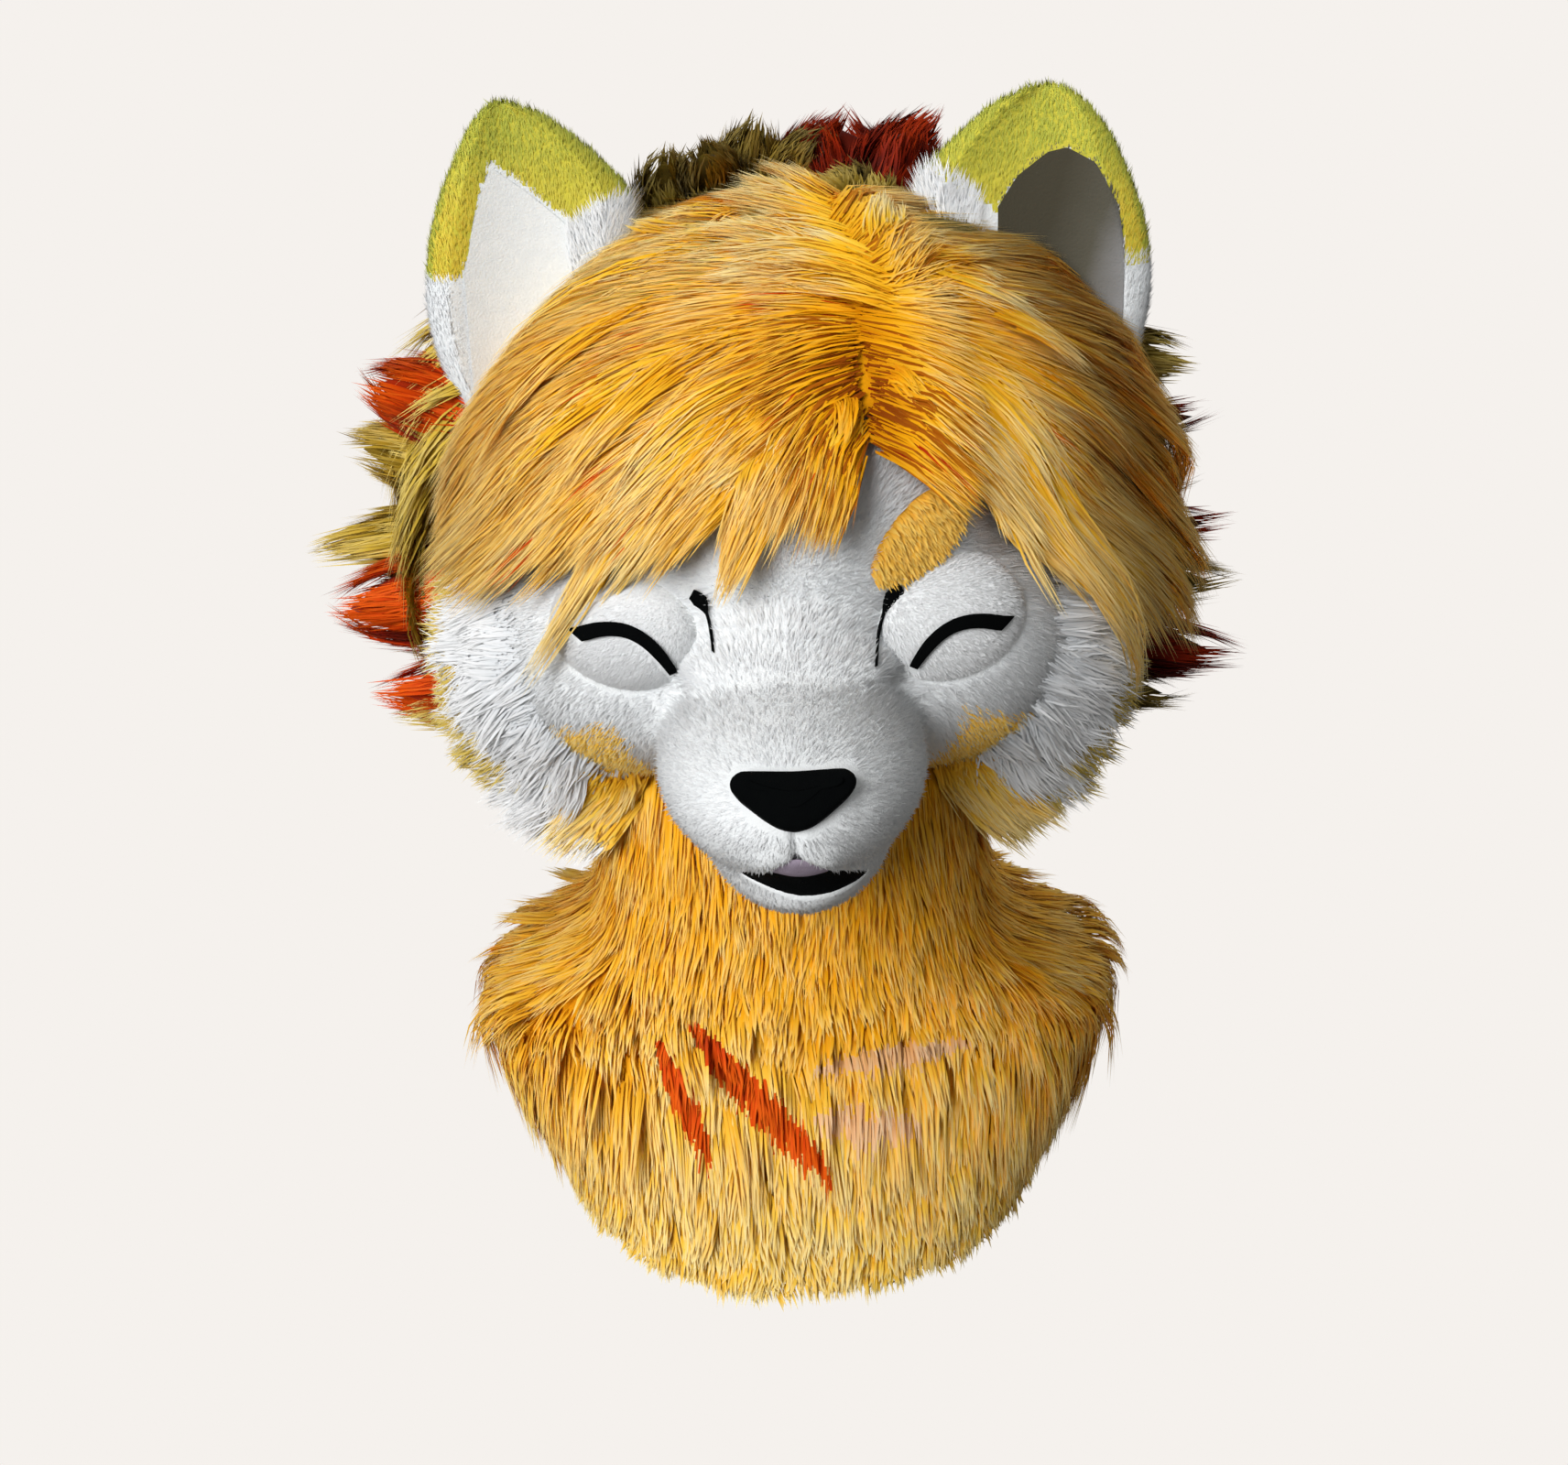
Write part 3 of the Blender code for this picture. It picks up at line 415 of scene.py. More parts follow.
def head_reach(ways):
    """How far the blended ellipsoids reach from the head's centre along unit vectors."""
    total = 0
    for centre, radii in HEAD_FORMS.values():
        start = (HEAD_CENTRE - centre) / radii
        step = ways / radii
        a = (step * step).sum(-1)
        b = (step * start).sum(-1)
        inside = b * b - a * ((start * start).sum() - 1)
        far = (np.sqrt(np.maximum(inside, 0)) - b) / a
        total = total + np.where(inside > 0, np.maximum(far, 0), 0) ** BLEND_POWER
    return total ** (1 / BLEND_POWER)


def on_head(ways, lift):
    return HEAD_CENTRE + ways * (head_reach(ways) + lift)[..., None]


def azimuth_of(points):
    way = unit(points - HEAD_CENTRE)
    return np.degrees(np.arctan2(way[..., 0], -way[..., 1]))


def elevation_of(points):
    return np.degrees(np.arcsin(unit(points - HEAD_CENTRE)[..., 2]))


def smooth_between(x, low, high):
    t = np.clip((x - low) / (high - low), 0, 1)
    return t * t * (3 - 2 * t)


def smooth_curve(before, here, there, after, t):
    """Part way from here to there, on a curve through all four."""
    return (
        here
        + 0.5 * t * (there - before)
        + t * t * (before - 2.5 * here + 2 * there - 0.5 * after)
        + t**3 * (1.5 * (here - there) + 0.5 * (after - before))
    )


def turned(x, y, degrees):
    """Plane coordinates turned anticlockwise."""
    t = math.radians(degrees)
    return x * math.cos(t) - y * math.sin(t), x * math.sin(t) + y * math.cos(t)


def table_at(rows, share):
    """Rows of a table part way along it, smoothed, for an array of shares 0 to 1."""
    values = np.array([tuple(row) for row in rows], float)
    place = np.clip(share, 0, 1) * (len(rows) - 1)
    k = np.minimum(place.astype(int), len(rows) - 2)
    t = (place - k)[..., None]
    last = len(rows) - 1
    return smooth_curve(*(values[np.clip(k + d, 0, last)] for d in (-1, 0, 1, 2)), t)


def cap_edge(table, azimuth):
    """Low edge, high edge and lift of a cap at an azimuth."""
    rows = np.array([tuple(row) for row in table])
    first = rows[0, 0]
    around = (azimuth - first) % 360 + first
    return tuple(np.interp(around, rows[:, 0], rows[:, c]) for c in (1, 2, 3))


def along_arc(root, tip, share):
    """Unit vectors on the arc between two directions, also a little past its end."""
    angle = np.arccos(np.clip((root * tip).sum(-1), -1, 1))[..., None]
    share = np.asarray(share)[..., None]
    return (np.sin((1 - share) * angle) * root + np.sin(share * angle) * tip) / np.sin(angle)


def strand_ways(strand, share):
    root = direction(strand.root_az, strand.root_el)
    tip = direction(strand.tip_az, strand.tip_el)
    ways = along_arc(root, tip, share)
    ways[..., 2] += math.radians(LOCK_BOW) * np.sin(math.pi * np.clip(share, 0, 1))
    return unit(ways)


# Raised pile on shaded parts turns this way.
FRONT_LEFT = unit(np.array((-0.5, -0.8, 0.35)))

# Surfaces: each takes arrays u and v from 0 to 1 and gives points in millimetres.


def skin_level(points):
    """Below 0 inside the sewn head, about 1 a radius outside it."""
    total = 0
    for centre, radii in SKIN_FORMS.values():
        reach = (((points - centre) / radii) ** 2).sum(-1)
        total = total + np.maximum(reach, 1e-6) ** (-SKIN_BLEND / 2)
    return total ** (-1 / SKIN_BLEND) - 1


def skin_slope(points, step=0.5):
    """How the level changes for each millimetre along x, y and z."""
    slopes = []
    for axis in np.eye(3):
        ahead = skin_level(points + axis * step)
        slopes.append((ahead - skin_level(points - axis * step)) / (2 * step))
    return np.stack(slopes, -1)


def onto_skin(points, rounds=3):
    """Moves points to the nearest place on the sewn head."""
    for _ in range(rounds):
        slope = skin_slope(points)
        move = skin_level(points)[:, None] * slope / (slope * slope).sum(-1, keepdims=True)
        length = np.linalg.norm(move, axis=-1, keepdims=True)
        points = points - move * np.minimum(1, 4 / np.maximum(length, 1e-6))
    return points


def skin_relief(points):
    """Height of the lips, the cleft under the nose and the mouth, above the plain head."""
    x = points[:, 0]
    z = points[:, 2]
    front = smooth_between(-points[:, 1], 185, 198)
    opening = smooth_between(ring_depth(x, z, MOUTH_RING), -0.6, 1.6)
    opening = np.maximum(opening, smooth_between(ring_depth(x, z, TONGUE_RING), -0.6, 1.6))
    cleft = np.exp(-(((x - 0.5) / 2.1) ** 2)) * smooth_between(z, -176, -170) * smooth_between(-z, 152, 158)
    lips = np.exp(-(((np.abs(x - 0.5) - 12) / 8) ** 2) - ((z + 169 + 0.25 * np.abs(x)) / 6) ** 2)
    under = np.exp(-(((z + 202) / 5) ** 2) - ((x - 3) / 20) ** 2)
    return front * (2.2 * lips + 1.5 * under - 3.2 * cleft - 4.5 * opening)


def round_ring(ring, turn):
    """Points (x, z) round a closed, smoothed outline."""
    rows = np.array(ring, float)
    count = len(rows)
    place = (np.asarray(turn, float) % 1) * count
    k = place.astype(int) % count
    t = (place - np.floor(place))[..., None]
    return smooth_curve(*(rows[(k + d) % count] for d in (-1, 0, 1, 2)), t)


def ring_depth(x, z, ring):
    """Distance in from a closed outline, below 0 outside it."""
    edge = round_ring(ring, np.linspace(0, 1, 48, endpoint=False))
    after = np.roll(edge, -1, axis=0)
    spots = np.stack((x, z), -1)
    gaps = np.full(x.shape, 1e9)
    inside = np.zeros(x.shape, bool)
    for a, b in zip(edge, after):
        way = b - a
        along = np.clip(((spots - a) @ way) / (way @ way), 0, 1)
        gaps = np.minimum(gaps, np.linalg.norm(spots - a - along[..., None] * way, axis=-1))
        crosses = (a[1] > z) != (b[1] > z)
        rise = b[1] - a[1] if b[1] != a[1] else 1e-9
        inside ^= crosses & (x < a[0] + (z - a[1]) * way[0] / rise)
    return np.where(inside, gaps, -gaps)


def head_surface(u, v):
    return on_head(direction(u * 360 - 180, v * 178 - 89), np.zeros(np.shape(u)))


def eye_centre(side):
    return np.array((side * EYE_CENTRE[0], *EYE_CENTRE[1:]))


def in_eye_pad(points, grow=0.0):
    """True inside either eye pad."""
    found = np.zeros(points.shape[:-1], bool)
    for side in (-1, 1):
        local = points - eye_centre(side)
        x, y = turned(local[..., 0], local[..., 1], -side * EYE_TURN)
        radii = [r + grow for r in EYE_RADII]
        reach = (x / radii[0]) ** 2 + (y / radii[1]) ** 2 + (local[..., 2] / radii[2]) ** 2
        found |= reach < 1
    return found


def eye_pad_surface(side):
    def surface(u, v):
        a = 2 * math.pi * u
        e = math.pi * (v - 0.5)
        x = EYE_RADII[0] * np.cos(e) * np.sin(a)
        y = -EYE_RADII[1] * np.cos(e) * np.cos(a)
        z = EYE_RADII[2] * np.sin(e)
        return np.stack((*turned(x, y, side * EYE_TURN), z), -1) + eye_centre(side)

    return surface


def ear_rows(side):
    return EAR_ROWS if side < 0 else EAR_ROWS_RIGHT


def ear_dish(across, depth):
    """How far the front is hollowed, by place across the ear."""
    return EAR_DISH * depth / EAR_DEPTH * np.clip(1 - (across / EAR_DISH_SHARE) ** 2, 0, 1)


def ear_surface(side):
    """Round the ear from its outer rim: front for u below 0.6, then back."""

    def surface(u, v):
        row = table_at(ear_rows(side), v)
        z, outer, inner, depth = (row[..., c] for c in range(4))
        front = u < 0.6
        across = np.where(front, -np.cos(math.pi * u / 0.6), np.cos(math.pi * (u - 0.6) / 0.4))
        rim = depth / 2 * np.sqrt(np.clip(1 - across**2, 0, 1))
        y = EAR_Y + np.where(front, ear_dish(across, depth) - rim, rim)
        x = side * ((outer + inner) / 2 - across * (outer - inner) / 2)
        return np.stack((x, y, z), -1)

    return surface


def panel_surface(table, side, swell, proud=0.0):
    def surface(u, v):
        row = table_at(table, u)
        roots = direction(side * row[..., 0], row[..., 1])
        tips = direction(side * row[..., 2], row[..., 3])
        rise = v**2
        if swell:
            rise = np.sin(math.pi * (0.08 + 0.84 * np.clip(v, 0, 1.05))) ** 0.8
        lift = row[..., 4] * rise + proud * smooth_between(v, -0.05, 0.14)
        return on_head(unit(along_arc(roots, tips, v)), lift)

    return surface


def cap_surface(table, start, end, proud):
    def surface(u, v):
        azimuth = start + (end - start) * u
        low, high, lift = cap_edge(table, azimuth)
        return on_head(direction(azimuth, high + (low - high) * v), lift * v**2 + proud)

    return surface


def bib_surface(u, v, out=0.0):
    """Round the bib from the front, top to hem. V above 1 goes on below the hem."""
    row = table_at(BIB_ROWS, v)
    z, half_width, front, back = (row[..., c] for c in range(4))
    a = 2 * math.pi * u
    s = np.sin(a)
    c = np.cos(a)
    power = 2 / BIB_ROUNDNESS
    past = np.clip(v - 1, 0, None) * 290
    depth = np.where(c > 0, front, back) + out - 0.1 * past
    x = np.sign(s) * np.abs(s) ** power * (half_width + out - 0.35 * past)
    y = -np.sign(c) * np.abs(c) ** power * depth
    return np.stack((x, y, z - past), -1)


def lock_surface(lock, fullness=1.0, tip_share=1.0):
    """Round a standing lock, from root to tip."""
    way = direction(np.array(float(lock.base_az)), np.array(float(lock.base_el)))
    root = on_head(way, np.array(LOCK_CLEARANCE))
    tip = np.array((lock.tip_x, lock.tip_y, lock.tip_z), float)
    knee = root + way * np.linalg.norm(tip - root) * 0.5
    across = unit(np.cross(tip - root, (0, 1, 0)))

    def surface(u, v):
        t = (v * tip_share)[..., None]
        centre = root * (1 - t) ** 2 + knee * 2 * t * (1 - t) + tip * t * t
        along = (knee - root) * (1 - t) + (tip - knee) * t
        thick = unit(np.cross(along, across))
        width = np.interp(v, (0, 0.3, 0.55, 0.78, 1), (0.9, 1, 0.86, 0.5, 0))
        half = lock.width / 2 * width[..., None] * fullness
        a = 2 * math.pi * u[..., None]
        return centre + across * half * np.cos(a) + thick * half * 0.5 * np.sin(a)

    return surface


def survey(surface, u, v, step=1e-4):
    """Points of a surface with its outward normals and its tangents along u and v."""
    points = surface(u, v)
    du = (surface(u + step, v) - surface(u - step, v)) / (2 * step)
    dv = (surface(u, v + step) - surface(u, v - step)) / (2 * step)
    return points, np.cross(du, dv), du, dv


def scatter(surface, count, u_span=(0, 1), v_span=(0, 1), keep=None):
    """Even random places on a surface: u, v, points, unit normals and unit v tangents."""
    got = []
    have = 0
    for _ in range(60):
        u = rng.uniform(*u_span, count)
        v = rng.uniform(*v_span, count)
        points, normals, _du, dv = survey(surface, u, v)
        area = np.linalg.norm(normals, axis=-1)
        chosen = rng.uniform(0, 1, count) * np.percentile(area, 99.7) < area
        if keep is not None:
            chosen &= keep(points)
        rows = np.column_stack((u, v, points, unit(normals), dv))[chosen]
        got.append(rows)
        have += len(rows)
        if have >= count:
            break
    rows = np.concatenate(got)[:count]
    return rows[:, 0], rows[:, 1], rows[:, 2:5], rows[:, 5:8], rows[:, 8:11]


def spaced(surface, count, u_span=(0, 1), v_span=(0, 1), keep=None):
    """Places like scatter's, but thinned so that none lie close together."""
    rows = scatter(surface, count * 5, u_span, v_span, keep)
    points = rows[2]
    tree = KDTree(len(points))
    for k, point in enumerate(points):
        tree.insert(point, k)
    tree.balance()
    kept = np.arange(len(points))
    low, high = 0.0, 60.0
    for _ in range(9):
        gap = (low + high) / 2
        chosen = []
        free = np.ones(len(points), bool)
        for k in range(len(points)):
            if free[k]:
                chosen.append(k)
                free[[found[1] for found in tree.find_range(points[k], gap)]] = False
        kept = np.array(chosen)
        if len(kept) > count:
            low = gap
        else:
            high = gap
    return tuple(part[kept] for part in rows)


# Materials


def paint(code):
    """A linear colour from a six-figure one."""
    values = [int(code[k : k + 2], 16) / 255 for k in (0, 2, 4)]
    return (*(c / 12.92 if c <= 0.04045 else ((c + 0.055) / 1.055) ** 2.4 for c in values), 1)


def new_material(name, roughness, sheen=0.0, specular=0.3):
    made = bpy.data.materials.new(name)
    made.use_nodes = True
    shader = made.node_tree.nodes["Principled BSDF"]
    shader.inputs["Roughness"].default_value = roughness
    shader.inputs["Sheen Weight"].default_value = sheen
    shader.inputs["Sheen Roughness"].default_value = 0.5
    shader.inputs["Specular IOR Level"].default_value = specular
    return made, made.node_tree, shader


def ramp(tree, source, stops):
    node = tree.nodes.new("ShaderNodeValToRGB")
    while len(node.color_ramp.elements) < len(stops):
        node.color_ramp.elements.new(0.5)
    for element, (place, colour) in zip(node.color_ramp.elements, stops):
        element.position = place
        element.color = colour
    tree.links.new(source, node.inputs[0])
    return node.outputs[0]


def maths(tree, operation, a, b=None, c=None):
    node = tree.nodes.new("ShaderNodeMath")
    node.operation = operation
    for socket, value in zip(node.inputs, (a, b, c)):
        if value is None:
            continue
        if isinstance(value, (int, float)):
            socket.default_value = value
        else:
            tree.links.new(value, socket)
    return node.outputs[0]


def mixed(tree, share, a, b):
    node = tree.nodes.new("ShaderNodeMix")
    node.data_type = "RGBA"
    for socket, value in zip((node.inputs[0], node.inputs[6], node.inputs[7]), (share, a, b)):
        if isinstance(value, (int, float, tuple)):
            socket.default_value = value
        else:
            tree.links.new(value, socket)
    return node.outputs[2]


def noise(tree, scale, detail=3.0, stretch=(1, 1, 1)):
    """Noise over the piece's own space, in cycles for each metre."""
    place = tree.nodes.new("ShaderNodeTexCoord")
    mapping = tree.nodes.new("ShaderNodeMapping")
    mapping.inputs["Scale"].default_value = stretch
    texture = tree.nodes.new("ShaderNodeTexNoise")
    texture.inputs["Scale"].default_value = scale
    texture.inputs["Detail"].default_value = detail
    tree.links.new(place.outputs["Object"], mapping.inputs["Vector"])
    tree.links.new(mapping.outputs[0], texture.inputs["Vector"])
    return texture.outputs[0]


def bump(tree, shader, height, distance, strength=0.6):
    node = tree.nodes.new("ShaderNodeBump")
    node.inputs["Distance"].default_value = distance
    node.inputs["Strength"].default_value = strength
    tree.links.new(height, node.inputs["Height"])
    tree.links.new(node.outputs[0], shader.inputs["Normal"])


def fur_material(name):
    """Strand colour by place along it (map's v) and by tone, deep to pale (map's u)."""
    fur = FURS[name]
    made, tree, shader = new_material(name + "_strands", 0.6, sheen=0.02, specular=0.08)
    place = tree.nodes.new("ShaderNodeUVMap")
    place.uv_map = "OFBake"
    split = tree.nodes.new("ShaderNodeSeparateXYZ")
    tree.links.new(place.outputs[0], split.inputs[0])
    strip = list(FURS).index(name)
    tone = maths(tree, "SUBTRACT", maths(tree, "MULTIPLY", split.outputs[0], len(FURS)), strip)
    stops = (0.0, 0.5, 1.0)
    deep = ramp(tree, split.outputs[1], [(s, paint(c)) for s, c in zip(stops, fur.deep)])
    pale = ramp(tree, split.outputs[1], [(s, paint(c)) for s, c in zip(stops, fur.pale)])
    tree.links.new(mixed(tree, tone, deep, pale), shader.inputs["Base Color"])
    return made


def backing_material(name, low, high, scale=120):
    """Woven pile backing: two shades of short dense nap."""
    made, tree, shader = new_material(name, 0.85, sheen=0.06, specular=0.08)
    cloud = noise(tree, scale, 4)
    tree.links.new(mixed(tree, cloud, paint(low), paint(high)), shader.inputs["Base Color"])
    bump(tree, shader, noise(tree, 900, 2), 0.0006)
    return made


def painted_shadow_fleece_material():
    """Fleece inside the right ear with a painted shadow: warm grey, darker towards its inner top."""
    made, tree, shader = new_material("painted_shadow_fleece", 0.85, sheen=0.0, specular=0.05)
    place = tree.nodes.new("ShaderNodeTexCoord")
    split = tree.nodes.new("ShaderNodeSeparateXYZ")
    tree.links.new(place.outputs["Object"], split.inputs[0])
    across = maths(tree, "MULTIPLY_ADD", split.outputs[0], 15.0, -1.85)
    down = maths(tree, "MULTIPLY", split.outputs[2], -4.0)
    cloud = maths(tree, "MULTIPLY", noise(tree, 40), 0.2)
    shade = maths(tree, "ADD", maths(tree, "ADD", across, down), cloud)
    stops = ((0.0, "4a463a"), (0.35, "5c594e"), (0.75, "98989a"), (1.0, "b4b6ba"))
    colour = ramp(tree, shade, [(share, paint(code)) for share, code in stops])
    tree.links.new(colour, shader.inputs["Base Color"])
    bump(tree, shader, noise(tree, 900, 2), 0.0006)
    return made


def felt_material(name, low, high):
    """Felt: matted short fibres with a dull, slightly uneven face."""
    made, tree, shader = new_material(name, 0.9, sheen=0.0, specular=0.06)
    cloud = noise(tree, 260, 5)
    tree.links.new(mixed(tree, cloud, paint(low), paint(high)), shader.inputs["Base Color"])
    fibres = maths(tree, "ADD", noise(tree, 1500, 2, (1, 1, 2.5)), noise(tree, 1300, 2, (2.5, 1, 1)))
    bump(tree, shader, fibres, 0.0005, 0.5)
    return made


# Pieces


def dress(piece, slot, *nodes):
    """Makes a piece ride with the head and stand for its nodes."""
    if nodes:
        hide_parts(*nodes)
    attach(piece, "root")
    return piece


def new_piece(name, mesh, *materials):
    piece = bpy.data.objects.new(name, mesh)
    bpy.context.scene.collection.objects.link(piece)
    for material in materials:
        mesh.materials.append(material)
    return piece


def move_all(bm, points):
    for vert, point in zip(bm.verts, points):
        vert.co = point


def finish(bm, name, material):
    bmesh.ops.remove_doubles(bm, verts=bm.verts, dist=0.01)
    bmesh.ops.recalc_face_normals(bm, faces=bm.faces)
    bmesh.ops.scale(bm, vec=(MM, MM, MM), verts=bm.verts)
    mesh = bpy.data.meshes.new(name)
    bm.to_mesh(mesh)
    bm.free()
    mesh.shade_smooth()
    return new_piece(name, mesh, material)


def laid_sheet(name, surface, columns, rows, material, u_span=(0, 1), v_span=(0, 1)):
    """A grid laid over a surface."""
    bm = bmesh.new()
    bmesh.ops.create_grid(bm, x_segments=columns, y_segments=rows, size=1)
    places = np.array([v.co[:2] for v in bm.verts])
    share = (places - places.min(0)) / np.ptp(places, axis=0)
    u = u_span[0] + share[:, 0] * (u_span[1] - u_span[0])
    v = v_span[0] + share[:, 1] * (v_span[1] - v_span[0])
    move_all(bm, surface(u, v))
    return finish(bm, name, material)


def thicken(piece, thickness, offset=-1.0):
    wall = piece.modifiers.new("wall", "SOLIDIFY")
    wall.thickness = thickness * MM
    wall.offset = offset
    return piece


def strands(name, slot, points, facing, widths, tones, furs, rough=0.1):
    """One dressed piece of tapered strands. Points are (strand, step, xyz), root first."""
    count, steps = points.shape[:2]
    ahead = unit(np.gradient(points, axis=1))
    side = unit(np.cross(ahead, facing))
    turn = rng.normal(0, 0.24, (count, 1, 1))
    side = side * np.cos(turn) + np.cross(ahead, side) * np.sin(turn)
    t = np.linspace(0, 1, steps)
    half = widths[:, None] / 2 * (0.7 + 0.9 * t) * (1 - t**2.5)
    left = points - side * half[..., None]
    right = points + side * half[..., None]
    pairs = np.stack((left, right), 2)[:, :-1].reshape(count, -1, 3)
    corners = np.concatenate((pairs, points[:, -1:]), 1) * MM
    each = corners.shape[1]
    quads = [(2 * k, 2 * k + 1, 2 * k + 3, 2 * k + 2) for k in range(steps - 2)]
    loops = np.array(sum(quads, ()) + (each - 3, each - 2, each - 1))
    sizes = np.array([4] * (steps - 2) + [3])
    mesh = bpy.data.meshes.new(name)
    mesh.vertices.add(count * each)
    mesh.vertices.foreach_set("co", corners.ravel())
    mesh.loops.add(count * len(loops))
    index = (np.arange(count)[:, None] * each + loops).ravel()
    mesh.loops.foreach_set("vertex_index", index)
    mesh.polygons.add(count * len(sizes))
    totals = np.tile(sizes, count)
    mesh.polygons.foreach_set("loop_start", np.cumsum(totals) - totals)
    furs = np.asarray(furs)
    if furs.ndim == 1:
        furs = np.repeat(furs[:, None], steps - 1, 1)
    names, slots = np.unique(furs, return_inverse=True)
    mesh.polygons.foreach_set("material_index", slots.ravel())
    mesh.update(calc_edges=True)
    strips = np.array([list(FURS).index(f) for f in names])[slots.reshape(furs.shape)]
    strips = np.repeat(strips, sizes, axis=1)
    width_u = np.array([(-1, 1)[k % 2] for k in range(each - 1)] + [0]) * 0.003
    u = (strips + 0.06 + 0.88 * np.clip(tones, 0, 1)[:, None]) / len(FURS) + width_u[loops]
    v = 0.02 + 0.96 * np.append(np.repeat(t[:-1], 2), 1)[loops]
    spots = np.stack((u, np.broadcast_to(v, u.shape)), -1)
    layer = mesh.uv_layers.new(name="OFBake")
    layer.data.foreach_set("uv", spots.astype(np.float32).ravel())
    mesh.shade_smooth()
    lean = unit(facing + rng.normal(0, rough, (count, 1, 3)))
    lean = np.concatenate((np.repeat(lean[:, :-1], 2, 1), lean[:, -1:]), 1)
    mesh.normals_split_custom_set_from_vertices(lean.reshape(-1, 3))
    dress(new_piece(name, mesh, *(fur_materials[f] for f in names)), slot)


def sample(paths, clump, share):
    """Points part way along each strand's clump path."""
    steps = paths.shape[1]
    place = np.clip(share, 0, 1) * (steps - 1)
    k = np.minimum(place.astype(int), steps - 2)
    t = (place - k)[..., None]
    clump = clump[:, None]
    return paths[clump, k] * (1 - t) + paths[clump, k + 1] * t


def tuft(paths, outs, radii, fill):
    """Strands round each clump path, closing towards its tip."""
    clump = np.repeat(np.arange(len(paths)), fill.number)
    total = len(clump)
    first = rng.uniform(*fill.starts, total)
    last = rng.uniform(*fill.ends, total)
    t = np.linspace(0, 1, fill.steps)
    share = first[:, None] + (last - first)[:, None] * t
    centre = sample(paths, clump, share)
    facing = unit(sample(outs, clump, share))
    ahead = sample(paths, clump, share + 0.03) - sample(paths, clump, share - 0.03)
    across = unit(np.cross(ahead, facing))
    angle = rng.uniform(0, 2 * math.pi, total)
    reach = np.sqrt(rng.uniform(0, 1, total)) * radii[clump]
    closing = 1 - fill.pinch * np.clip(share, 0, 1) ** 1.6
    sideways = (reach * np.cos(angle))[:, None] * closing
    upward = (0.22 * reach * np.sin(angle))[:, None] * closing - fill.sink * (1 - t) ** 1.5
    points = centre + across * sideways[..., None] + facing * upward[..., None]
    points += rng.normal(0, fill.frizz, (total, 1, 3)) * (t**1.5)[:, None]
    return points, facing, clump


def flow_guides(table):
    """Directions, flows and lifts along the locks of a table."""
    share = np.linspace(0, 1.1, 22)
    ways = [strand_ways(s, share) for s in table]
    flows = [unit(strand_ways(s, share + 0.02) - strand_ways(s, share)) for s in table]
    lifts = [s.lift * share**2 for s in table]
    return np.concatenate(ways), np.concatenate(flows), np.concatenate(lifts)


def follow(guides, ways, length, steps, low, rise):
    """Paths that start on the head and follow the flow of the guides over it."""
    guide_ways, guide_flows, guide_lifts = guides
    paths = []
    outs = []
    for k in range(steps):
        near = np.clip(2 - 2 * ways @ guide_ways.T, 0, None)
        weight = 1 / (near + 0.004) ** 2
        weight /= weight.sum(1, keepdims=True)
        flow = unit(weight @ guide_flows)
        lift = weight @ guide_lifts
        paths.append(on_head(ways, lift + low + rise * k / (steps - 1)))
        outs.append(ways)
        reach = head_reach(ways) + lift
        ways = unit(ways * reach[:, None] + flow * (length / (steps - 1)))
    return np.stack(paths, 1), np.stack(outs, 1)


def lock_paths(strand, count, steps=9):
    """Clump paths inside one combed lock, ending in a ragged point."""
    across_share = rng.uniform(-1, 1, count)
    first = rng.uniform(0.2, 0.6, count)
    last = 1.04 - 0.2 * across_share**2 - rng.uniform(0, 0.1, count)
    share = first[:, None] + (last - first)[:, None] * np.linspace(0, 1, steps)
    ways = strand_ways(strand, share)
    flow = unit(strand_ways(strand, share + 0.02) - ways)
    across = unit(np.cross(ways, flow))
    width = np.interp(share, (0.3, 0.5, 0.7, 0.87, 1.02), (0.7, 1.0, 0.95, 0.62, 0.12))
    thin = 1 - 0.7 * np.clip(share, 0, 1) ** 3
    up = rng.uniform(0.15, 0.95, count)[:, None]
    paths = on_head(ways, strand.lift * share**2 + CAP_PILE * up * thin + 1)
    paths += across * (across_share[:, None] * strand.width / 2 * width)[..., None]
    return paths, ways


def down_paths(surface, u, v, length, steps, low, rise, drift=0.0, end=9.0, plumb=0.0):
    """Clump paths that run down a surface's v to its end at most, with outward vectors.

    Plumb 1 keeps their x as it was at the root."""
    _p, _n, _du, dv = survey(surface, u, v)
    stride = length / np.maximum(np.linalg.norm(dv, axis=-1), 1)
    stride = np.minimum(stride, end - v)
    paths = []
    outs = []
    moved = np.zeros(len(u))
    for k in range(steps):
        share = k / (steps - 1)
        here_u = u + drift * share + moved
        here_v = v + stride * share
        points, normals, du, dv = survey(surface, here_u, here_v)
        aside = np.where(np.abs(du[:, 0]) > 80, dv[:, 0] / np.where(du[:, 0] == 0, 1, du[:, 0]), 0)
        moved = moved - plumb * np.clip(aside * stride / (steps - 1), -0.012, 0.012)
        out = unit(normals)
        away = (points - HEAD_CENTRE) * (1, 1, 0)
        out *= 1 if (out * away).sum() > 0 else -1
        paths.append(points + out * (low + rise * share))
        outs.append(out)
    return np.stack(paths, 1), np.stack(outs, 1)


def below_surface(x, z, inside, near=-275.0, far=-40.0):
    """Y where a line from the front at (x, z) first meets a form."""
    ys = np.linspace(near, far, 160)
    points = np.stack(np.broadcast_arrays(x[..., None], ys, z[..., None]), -1)
    first = inside(points).argmax(-1)
    low = ys[np.maximum(first - 1, 0)]
    high = ys[first]
    for _ in range(16):
        middle = (low + high) / 2
        hit = inside(np.stack((x, middle, z), -1))
        low = np.where(hit, low, middle)
        high = np.where(hit, middle, high)
    return high


def inside_head(points):
    return skin_level(points) < 0


def inside_face(points):
    return inside_head(points) | in_eye_pad(points)


